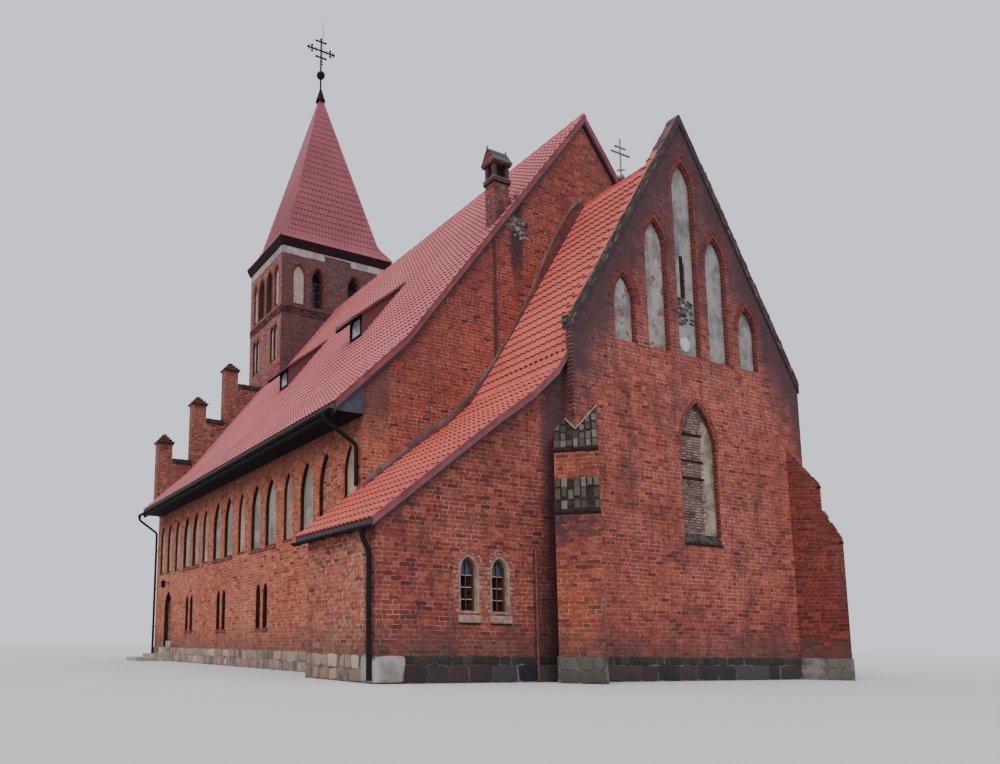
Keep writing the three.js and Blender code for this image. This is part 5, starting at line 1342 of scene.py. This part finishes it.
def two_courses(models, u0, u1, wall, large, thin):
    """A low course of big stones with a thin course of flat ones on it."""
    stone_run(models, u0, u1, wall, large, high=0.37, rows=1, widths=(0.4, 0.74), face=0.042)
    stone_run(models, u0, u1, wall, thin, low=0.375, rows=1, widths=(0.2, 0.42), face=0.038)


def finish_stones(models, spots, name, look):
    parts = [copies(model, line, keep_first=True) for model, line in zip(models, spots) if line]
    obj = joined(parts)
    for vertex in obj.data.vertices:
        vertex.co.z = max(vertex.co.z, GROUND_GAP)
    return keep(obj, name, look, smooth=50)


def plinth():
    models = stone_models()
    dark, pale, green, foot_stones = ([[] for _ in models] for _ in range(4))
    two_courses(models, -3.36, 3.6, EAST, dark, green)
    two_courses(models, -8.95, -4.52, SACRISTY, dark, green)
    for u0, u1, wall, spots in (
        (CHANCEL_HALF, NAVE_HALF, Wall(NAVE_EAST, 0, 1, 0), dark),
        (NAVE_EAST, SACRISTY_EAST - 0.3, Wall(0, SACRISTY_SOUTH, 0, -1), pale),
        (NAVE_HALF, -SACRISTY_SOUTH, Wall(NAVE_EAST, 0, -1, 0), pale),
        (NAVE_WEST, DOOR_WEST, SOUTH, pale),
        (DOOR_EAST, NAVE_EAST, SOUTH, pale),
        (-NAVE_EAST, -NAVE_WEST, Wall(0, NAVE_HALF, 0, 1), pale),
        (0.6, -NAVE_EAST, Wall(0, CHANCEL_HALF, 0, 1), dark),
        (TOWER_HALF, NAVE_HALF, WEST, pale),
        (-NAVE_HALF, -TOWER_HALF, WEST, pale),
        (-TOWER_HALF, TOWER_HALF, TOWER_FACES[2], pale),
        (TOWER_WEST, NAVE_WEST, Wall(0, -TOWER_HALF, 0, -1), pale),
        (-NAVE_WEST, -TOWER_WEST, Wall(0, TOWER_HALF, 0, 1), pale),
    ):
        stone_run(models, u0, u1, wall, spots)
    r = math.sqrt(0.5)
    for side in (-1, 1):
        corner = Vector((0, -CHANCEL_SOUTH if side < 0 else CHANCEL_HALF, 0))
        foot = 0.78 if side < 0 else 0.7
        out, across = Vector((r, side * r, 0)), Vector((r, -side * r, 0))
        front = corner + out * foot
        wide, narrow = front + across * BUTTRESS_HALF, front - across * BUTTRESS_HALF
        nose = Wall(front.x, front.y, out.x, out.y)
        axis = nose.turn.col[0].to_3d()
        ends = sorted(((wide - front).dot(axis), (narrow - front).dot(axis)))
        stone_run(models, ends[0] + 0.02, ends[1] - 0.02, nose, foot_stones, face=0.044, relief=0.01, rows=2,
            widths=(0.26, 0.46))
        for point, way in ((corner + across * BUTTRESS_HALF, across), (corner - across * BUTTRESS_HALF, -across)):
            flank = Wall(point.x, point.y, way.x, way.y)
            axis = flank.turn.col[0].to_3d()
            ends = sorted((axis.dot(out) * 0.1, axis.dot(out) * foot))
            stone_run(models, ends[0] + 0.02, ends[1] - 0.02, flank, foot_stones, face=0.04, relief=0.008, rows=2,
                widths=(0.24, 0.4))
    finish_stones(models, dark, "plinth_stones_dark", "stones")
    finish_stones(models, green, "plinth_stones_thin", "stones_green")
    finish_stones(models, foot_stones, "buttress_foot_stones", "stones_corner")
    finish_stones(models, pale, "plinth_stones_pale", "stones_pale")
    boulder = copy_of(models[0], at(SACRISTY_EAST - 0.2, SACRISTY_SOUTH + 0.3, 0.28) @ sized(0.66, 0.74, 0.56))
    apply_modifier(boulder, "SUBSURF", levels=1)
    for vertex in boulder.data.vertices:
        vertex.co.z = max(vertex.co.z, GROUND_GAP)
    keep(boulder, "corner_boulder", "boulder", smooth=60)
    for model in models:
        bpy.data.objects.remove(model)


# ---------------------------------------------------------------- copings, buttress caps and the west steps
def laid_on(line, x0, x1, model_size, gap=0.012, jitter=0.006, lift=0.0, rows=1, tilt=0.03):
    """Slabs laid up a slope given as (y, z) points, side by side between x0 and x1."""
    long, thick = model_size
    slab = rounded(-0.5, 0.5, -long / 2 + gap / 2, long / 2 - gap / 2, 0, thick, min(0.012, thick / 3))
    spots = []
    width = (x1 - x0) / rows
    for low, high in zip(path_points(line, long), path_points(line, long)[1:]):
        run = Vector((0, high[0] - low[0], high[1] - low[1]))
        up = run.normalized()
        out = Vector((1, 0, 0)).cross(up)
        right = Vector((1, 0, 0))
        if out.z < 0:
            out, right = -out, -right
        for k in range(rows):
            x = x0 + width * (k + 0.5) + draw.uniform(-jitter, jitter)
            middle = Vector((x, (low[0] + high[0]) / 2, (low[1] + high[1]) / 2))
            middle += out * (lift + draw.uniform(-jitter, jitter))
            spot = frame_of(middle, right, up, out) @ turned(draw.uniform(-tilt, tilt))
            spots.append(spot @ sized(width - gap, run.length / long, draw.uniform(0.8, 1.2)))
    return copies(slab, spots)


COPING_IN, COPING_OUT = -0.26, 0.04


def gable_coping():
    """Roof tiles run over the coping to near its front edge; moss and a light strip cover the front."""
    mossy, light, bare = [], [], []

    def dropped(line, drop):
        return [(y, z - drop) for y, z in line]

    for side, foot in ((-1, -4.1), (1, 4.32)):
        line = [(foot, GABLE_APEX - GABLE_RAKE * abs(foot)), (side * 0.78, GABLE_APEX - GABLE_RAKE * 0.78)]
        name = "south" if side < 0 else "north"
        tiled_slope(line, lambda y: [(COPING_IN - 0.02, -0.085)], "coping_roof_tiles_" + name, "chancel_tile", 0.03)
        bare.append(laid_on(line, -0.09, -0.02, (0.7, 0.03), gap=0.0, jitter=0.0, tilt=0.0))
        mossy.append(laid_on(line, -0.02, COPING_OUT + 0.006, (0.22, 0.035), lift=-0.004, jitter=0.009, tilt=0.08))
        mossy.append(laid_on(dropped(line, 0.1), COPING_OUT - 0.02, COPING_OUT + 0.012, (0.22, 0.05), jitter=0.006,
            tilt=0.03))
        light.append(laid_on(dropped(line, 0.2), COPING_OUT - 0.02, COPING_OUT + 0.01, (0.31, 0.034), gap=0.02,
            jitter=0.008))
    chunk = lump(0.14)
    spots = []
    for k in range(12):
        spot = at(draw.uniform(-0.2, 0.0), -4.08 + draw.uniform(-0.02, 0.03), 8.36 + 0.028 * k)
        spot = spot @ turned(draw.uniform(-0.4, 0.4), "X")
        spots.append(spot @ sized(draw.uniform(0.1, 0.2), draw.uniform(0.06, 0.11), draw.uniform(0.06, 0.12)))
    mossy.append(copies(chunk, spots))
    keep(joined(bare), "coping_bare_strip", "chancel_sheet")
    keep(joined(mossy), "coping_tiles", "moss")
    keep(joined(light), "coping_edge", "coping_edge")
    cap = []
    for side in (-1, 1):
        line = [(side * 0.8, GABLE_APEX - GABLE_RAKE * 0.8), (side * 0.02, GABLE_APEX - 0.02)]
        cap.append(laid_on(line, COPING_IN - 0.05, COPING_OUT - 0.002, (0.2, 0.05), lift=-0.03, rows=2, jitter=0.004))
    keep(joined(cap), "apex_cap_tiles", "cap_tile")


def buttress_caps():
    """Small tiles in a grid on the two sloping set-offs of each chancel buttress, some of them lost."""
    r = math.sqrt(0.5)
    half = BUTTRESS_HALF
    tile = rounded(-0.5, 0.5, -0.5, 0.5, 0, 0.045, 0.012)
    for side, corner, slopes, look in (
        ("south", -CHANCEL_SOUTH, (((0.78, 3.74), (0.40, 4.57)), ((0.40, 5.24), (-0.48, 6.44))), "pad_tile"),
        ("north", -CHANCEL_HALF, (((0.7, 3.65), (0.27, 4.515)), ((0.27, 5.17), (-0.35, 6.04))), "pad_tile_north"),
    ):
        turn = Matrix(((r, r, 0, 0), (-r, r, 0, corner), (0, 0, 1, 0), (0, 0, 0, 1)))
        tiles, drips, beds = [], [], []
        for (out_low, low), (out_high, high) in slopes:
            run = Vector((out_high - out_low, 0, high - low))
            up = run.normalized()
            right = Vector((0, 1, 0))
            out = right.cross(up)
            start = Vector((out_low, 0, low)) + out * 0.004
            across = right * (half - 0.01)
            # Dark bed under the tiles: dark mortar, with painted shade in the gaps and where tiles are missing
            bed = [start - across, start + across, start + across + run * 0.97, start - across + run * 0.97]
            beds.append(plate(bed, out * 0.006))
            columns = 7
            rows = max(3, round(run.length / 0.31))
            for k in range(columns):
                shift = draw.uniform(-0.2, 0.2)
                for i in range(rows):
                    if draw.random() < (0.17 if side == "south" else 0.08):
                        continue
                    share = (i + 0.5 + (shift if 0 < i < rows - 1 else 0.0)) / rows
                    middle = Vector((out_low, half * (2 * (k + 0.5) / columns - 1), low)) + run * share
                    if middle.z > 6.38:
                        continue
                    middle += out * draw.uniform(-0.012, 0.012)
                    spot = frame_of(middle, right, up, out) @ turned(draw.uniform(-0.06, 0.06))
                    width = 2 * half / columns * draw.uniform(0.66, 0.92)
                    length = run.length / rows * draw.uniform(0.62, 0.95)
                    tiles.append(spot @ sized(width, length, draw.uniform(0.6, 1.2)))
            # Painted shadow: a black strip below the foot of each set-off
            drips.append(rounded(out_low - 0.1, out_low + 0.016, -half - 0.008, half + 0.008, low - 0.075,
                low - 0.005, 0.01))
        obj = copies(tile, tiles, keep_first=True)
        pieces = [("tiles", obj, look), ("drips", joined(drips), "slit_dark"), ("beds", joined(beds), "pad_bed")]
        for part, obj, finish in pieces:
            obj.data.transform(turn)
            if side == "north":
                obj.data.transform(MIRROR)
                obj.data.flip_normals()
            keep(obj, "buttress_" + part + "_" + side, finish)
    bpy.data.objects.remove(tile)
    # Cement along the joint of the upper south set-off with the gable and the side wall
    south = -CHANCEL_SOUTH
    seams = []
    for a, b, lift in ((Vector((0.002, south, 5.80)), Vector((0.002, south + 0.66, 6.44)), Vector((0.04, 0, 0))),
            (Vector((0.0, south - 0.002, 5.80)), Vector((-0.30, south - 0.002, 6.10)), Vector((0, -0.04, 0)))):
        seams.append(plate([a, b, b + Vector((0, 0, 0.035)), a + Vector((0, 0, 0.035))], lift))
    keep(joined(seams), "buttress_cement_lines", "cement")


PINNACLES = ((7.75, 9.98, 10.46), (6.175, 12.06, 12.5), (4.6, 14.0, 14.44))
STEP_TOPS = ((6.5, 7.4, 9.22), (4.95, 5.82, 11.36), (2.96, 4.25, 13.32))


def west_steps():
    """Tiled caps of the pinnacles, with a drip course below each, and slates on the steps between."""
    caps, drips, slates = [], [], []
    middle = (NAVE_WEST + ROOF_WEST) / 2
    for side in (-1, 1):
        for y, low, top in PINNACLES:
            for face in range(4):
                layers = []
                for k in range(4):
                    half, z = 0.395 * (1 - k / 4), low + (top - low) * k / 4
                    layers.append(rounded(half - 0.1, half + 0.012, -half, half, z, z + 0.05, 0.008))
                piece = joined(layers)
                piece.data.transform(at(middle, side * y, 0) @ turned(face * math.pi / 2))
                caps.append(piece)
            drips.append(bar(middle, side * y, low - 0.03, 0.27, 0.4, 0.04, 0.012))
        for y0, y1, top in STEP_TOPS:
            count = round((y1 - y0) / 0.22)
            half = (y1 - y0) / count / 2
            for k in range(count):
                y = side * (y0 + half * (2 * k + 1))
                slates.append(rounded(middle - 0.29, middle + 0.29, y - half + 0.006, y + half - 0.006, top - 0.16,
                    top + 0.045 + draw.uniform(-0.006, 0.01), 0.01))
    keep(joined(caps), "pinnacle_tiles", "slate_cap")
    keep(joined(drips), "pinnacle_drips", "slate")
    keep(joined(slates), "step_slates", "step_slate")


# ---------------------------------------------------------------- flashings, dormers, chimney, door, gutters
FLASHING = [(-0.10, 14.35), (-0.57, 13.94), (-1.30, 12.80), (-2.22, 10.96), (-2.98, 9.54), (-3.62, 8.55),
    (-4.32, 7.65), (-5.16, 6.73), (-5.77, 6.32), (-6.96, 5.33), (-7.72, 4.74)]


def roof_height(y):
    for (y0, z0), (y1, z1) in zip(LONG_SLOPE, LONG_SLOPE[1:]):
        if y >= y1:
            return z0 + (z1 - z0) * (y - y0) / (y1 - y0)
    return LONG_SLOPE[-1][1]


def wall_flashing():
    """Red metal strip from the wall down onto the tiles, and the rough cement fillet above it."""
    strips, fillets, rails = [], [], []
    for y, z in FLASHING:
        top = roof_height(y)
        rails.append((Vector((NAVE_EAST + 0.004, y, z)), Vector((NAVE_EAST + 0.09, y - 0.02, top + 0.06)),
            Vector((NAVE_EAST + 0.004, y + 0.02, z + 0.17))))
    for (a, b, c), (d, e, f) in zip(rails, rails[1:]):
        strips.append(plate([a, b, e, d], Vector((0.0, -0.02, 0.03))))
        for k in range(5):
            low, high = a.lerp(d, k / 5), a.lerp(d, (k + 0.97) / 5)
            up_low, up_high = c.lerp(f, k / 5), c.lerp(f, (k + 0.97) / 5)
            rough = Vector((0, 0, draw.uniform(-0.05, 0.02)))
            fillets.append(plate([low, high, up_high + rough, up_low + rough],
                Vector((draw.uniform(0.015, 0.03), 0, 0))))
    keep(joined(strips), "wall_flashing", "flashing")
    keep(joined(fillets), "wall_fillet", "fillet")


def dormers():
    """Black window frames and the stepped strips along the eaves of the two dormers."""
    frames, strips = [], []
    for x in DORMERS:
        front = Wall(x, -4.75, 0, -1)
        pane = [(-0.4, 11.1), (-0.4, 11.855), (0.4, 11.855), (0.4, 11.1)]
        frames.append(front.place(hollow_frame(pane, 0.085, 0.012, 0.05)))
        for u in (-0.3, 0.3):
            corner = [(u, 11.83), (u, 11.62), (u * 0.45, 11.83)]
            frames.append(front.place(panel(corner if u < 0 else corner[::-1], -0.02, 0.01)))
        for k in range(8):
            u = x - 0.57 + k * 0.138
            strips.append(rounded(u, u + 0.13, -5.245, -5.15, 11.43, 11.5, 0.01))
            for m in range(3):
                y = -5.16 + 0.13 * m
                low = 11.46 + 0.8 * (y + 5.23)
                strips.append(rounded(x - 0.582, x - 0.565, y - 0.05, y + 0.07, low, low + 0.14, 0.006))
    keep(joined(frames), "dormer_frames", "soffit")
    keep(joined(strips), "dormer_eave_strips", "soffit")


CHIMNEY_X, CHIMNEY_Y, CHIMNEY_EAVE = -3.7, -3.16, 14.735


def around_chimney(half_x, half_y, low, high, edge):
    return bar(CHIMNEY_X, CHIMNEY_Y, (low + high) / 2, half_x, half_y, (high - low) / 2, edge)


def chimney_trim():
    """Stepped slates on the cap, a tile at each end of its ridge, a pale ledge with a painted shadow strip below it,
    and the black inside, soot with painted shade.
    """
    slabs = []
    for side in (-1, 1):
        for k in range(3):
            low, high = k / 3, min(1, (k + 1.25) / 3)
            ring = [(CHIMNEY_X + side * 0.275 * (1 - share), CHIMNEY_Y + y, CHIMNEY_EAVE + 0.45 * share)
                for y, share in ((-0.355, low), (0.355, low), (0.355, high), (-0.355, high))]
            slabs.append(plate(ring if side > 0 else ring[::-1], (side * 0.02, 0, 0.028)))
    slabs += [bar(CHIMNEY_X, CHIMNEY_Y + y, 15.22, 0.03, 0.015, 0.08, 0.01) for y in (-0.34, 0.34)]
    keep(joined(slabs), "chimney_slates", "chimney_slate")
    keep(around_chimney(0.248, 0.328, 14.225, 14.282, 0.012), "chimney_ledge", "chimney_ledge")
    # Painted shade: a black strip below the ledge for its shadow, and the cap's black inside, soot with painted shade
    darks = [around_chimney(0.23, 0.31, 14.105, 14.135, 0.004), around_chimney(0.16, 0.24, 14.275, 14.30, 0.004),
        around_chimney(0.09, 0.2, 14.28, 14.68, 0.01)]
    keep(joined(darks), "chimney_soot", "soot")
    # Broken masonry and cement on the gable below the chimney
    chunk = lump(0.16)
    spots = []
    for k in range(150):
        share = draw.random()
        y, z = -3.1 + 0.62 * share + draw.uniform(-0.16, 0.2), 13.2 - 0.4 * share + draw.uniform(-0.34, 0.22)
        if z > NAVE_RIDGE - NAVE_PITCH * abs(y) - 0.27:
            continue
        spot = at(NAVE_EAST - 0.004, y, z) @ turned(draw.uniform(-0.5, 0.5), "X")
        spots.append(spot @ sized(draw.uniform(0.04, 0.07), draw.uniform(0.06, 0.19), draw.uniform(0.04, 0.09)))
    for k in range(16):
        y = draw.uniform(-2.86, -2.6)
        spot = at(draw.uniform(-3.62, -3.4), y, NAVE_RIDGE - NAVE_PITCH * abs(y) + draw.uniform(0.0, 0.07))
        spot = spot @ turned(-0.91, "X")
        spots.append(spot @ sized(draw.uniform(0.08, 0.16), draw.uniform(0.06, 0.16), 0.06))
    keep(copies(chunk, spots), "gable_broken_masonry", "smear")


def corner_courses():
    """Rough rounded courses on the gable's short south face, above the buttress."""
    brick = lump(0.22)
    spots = []
    z = 6.3
    while z < 8.28:
        middle = -0.1 + draw.uniform(-0.006, 0.006)
        spot = at(middle, -CHANCEL_SOUTH + 0.01 + draw.uniform(-0.008, 0.004), z)
        spot = spot @ turned(draw.uniform(-0.03, 0.03), "Y")
        spots.append(spot @ sized(0.2, 0.07, draw.uniform(0.07, 0.085)))
        z += COURSE
    keep(copies(brick, spots), "gable_corner_courses", "corner_brick")


LEAF_FRONT = -7.4197


def door_trim():
    boards, irons = [], []
    count = 9
    step = (DOOR_EAST - DOOR_WEST - 0.02) / count
    for k in range(count):
        x = DOOR_WEST + 0.01 + step * k
        boards.append(rounded(x + 0.003, x + step - 0.003, LEAF_FRONT - 0.012, LEAF_FRONT + 0.004, 0.87, 3.04, 0.004))
    for z in (1.05, 2.2):
        boards.append(rounded(DOOR_WEST + 0.05, DOOR_EAST - 0.05, LEAF_FRONT - 0.024, LEAF_FRONT - 0.01, z, z + 0.1,
            0.006))
    for z in (1.25, 2.55):
        strap = block(DOOR_WEST + 0.02, DOOR_EAST - 0.25, LEAF_FRONT - 0.02, LEAF_FRONT - 0.011, z - 0.025, z + 0.025)
        irons.append(bevelled(strap, 0.003))
    irons.append(primitive(bpy.ops.mesh.primitive_torus_add, major_radius=0.055, minor_radius=0.008,
        major_segments=20, minor_segments=8, location=(DOOR_EAST - 0.16, LEAF_FRONT - 0.03, 1.78),
        rotation=(math.pi / 2, 0, 0)))
    irons.append(rounded(DOOR_EAST - 0.2, DOOR_EAST - 0.12, LEAF_FRONT - 0.022, LEAF_FRONT - 0.01, 1.7, 1.95, 0.006))
    group = defaultdict(list)
    middle = (DOOR_WEST + DOOR_EAST) / 2
    # Painted shade up the left reveal of the door
    shade_reveal_strip(1.05, 0.58, 2.97, 0.72, 0.352, middle, group)
    left = [spot for spot in lancet_stations(1.05, 0.9, 2.97, 0.72, -0.018) if spot[0] < 0 and spot[1] < 2.6]
    group["reveal_plaster"] = [brick_chain(left, COURSE + 0.004, 0.01, 0.17, -0.265, middle, 0.0, 0.002)]
    gather(group, SOUTH, "door_reveal")
    keep(joined(boards), "door_boards", "door_wood", body=DOOR)
    keep(joined(irons), "door_irons", "metal", body=DOOR)


def gutter_brackets():
    clip = rounded(-0.009, 0.009, -0.0715, 0.0715, -0.08, 0.002, 0.004)
    spots = []
    for y in (-8.73, 8.73):
        x = -22.0
        while x < -3.5:
            spots.append(at(x, y, 6.53))
            x += 0.92
    spots += [at(-3.5 + 0.62 * k, -9.501, 3.15) for k in range(6)]
    keep(copies(clip, spots), "gutter_brackets", "metal")


def end_boards():
    """Boards that close the boxed eaves at the nave's east end."""
    parts = []
    for side in (-1, 1):
        ring = [(NAVE_EAST + 0.02, side * y, z) for y, z in ((7.8, 7.22), (8.52, 6.60), (8.52, 6.5), (7.8, 6.5))]
        parts.append(plate(ring, (0.05, 0, 0)))
    keep(joined(parts), "eave_end_boards", "end_board")


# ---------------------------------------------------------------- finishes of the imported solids
LOOKS = {
    "mortar": "plinth_nave",
    "mortar_dark": "plinth_east",
    "slab": "nave_floor sacristy_floor",
    "long": "south_wall_over_door south_wall_west south_wall north_wall",
    "nave_gable": "nave_east_gable",
    "west": "west_gable_south west_gable_north",
    "tower": "tower_shaft",
    "wood": "belfry_floor",
    "fascia": "tower_cornice",
    "spire_sheet": "spire",
    "metal": "spire_cross door_lamp rainwater_south rainwater_north rainwater_sacristy",
    "nave_slab": "nave_roof_south nave_roof_north",
    "soffit": "eaves_south eaves_north",
    "dormer": "dormer_east dormer_west",
    "glass_pale": "dormer_east_glass dormer_west_glass",
    "chimney": "chimney",
    "gable": "chancel_east_gable chancel_north_wall chancel_south_wall",
    "ledge": "gable_coping",
    "chancel_slab": "chancel_roof_south chancel_roof_north",
    "iron": "ridge_cross",
    "sacristy": "sacristy_east_wall",
    "rubble": "sacristy_south_wall",
    "buttress": "buttress_southeast",
    "buttress_north_shaded": "buttress_northeast",
    "glass": "glass_slits_south glass_slits_north glass_sacristy glass_belfry",
    "door_wood": "door_frame door_leaf",
    "step_stone": "door_steps",
    "rusty": "wall_pipe",
}


def finish_solids():
    for look, nodes in LOOKS.items():
        for node in nodes.split():
            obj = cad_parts[node]
            if not obj.data.materials:
                obj.data.materials.append(mat[look])
            for slot in obj.material_slots:
                slot.material = mat[look]


def lay_floor():
    deselect()
    bpy.ops.mesh.primitive_plane_add(size=400, location=(0, 0, -0.004))
    floor = bpy.context.object
    floor.name = "floor"
    new_material("pale_floor", 0.9)[2]((0.62, 0.61, 0.6))
    floor.data.materials.append(mat["pale_floor"])


set_camera()
set_light()
finish_solids()
lay_floor()
nave_roof()
chancel_roof()
spire_roof()
spire_finial()
verge_boards()
gable_niches()
blocked_window()
long_wall_niches()
sacristy_windows()
tower_openings()
tower_bands()
plinth()
gable_coping()
buttress_caps()
west_steps()
wall_flashing()
dormers()
chimney_trim()
corner_courses()
door_trim()
gutter_brackets()
end_boards()
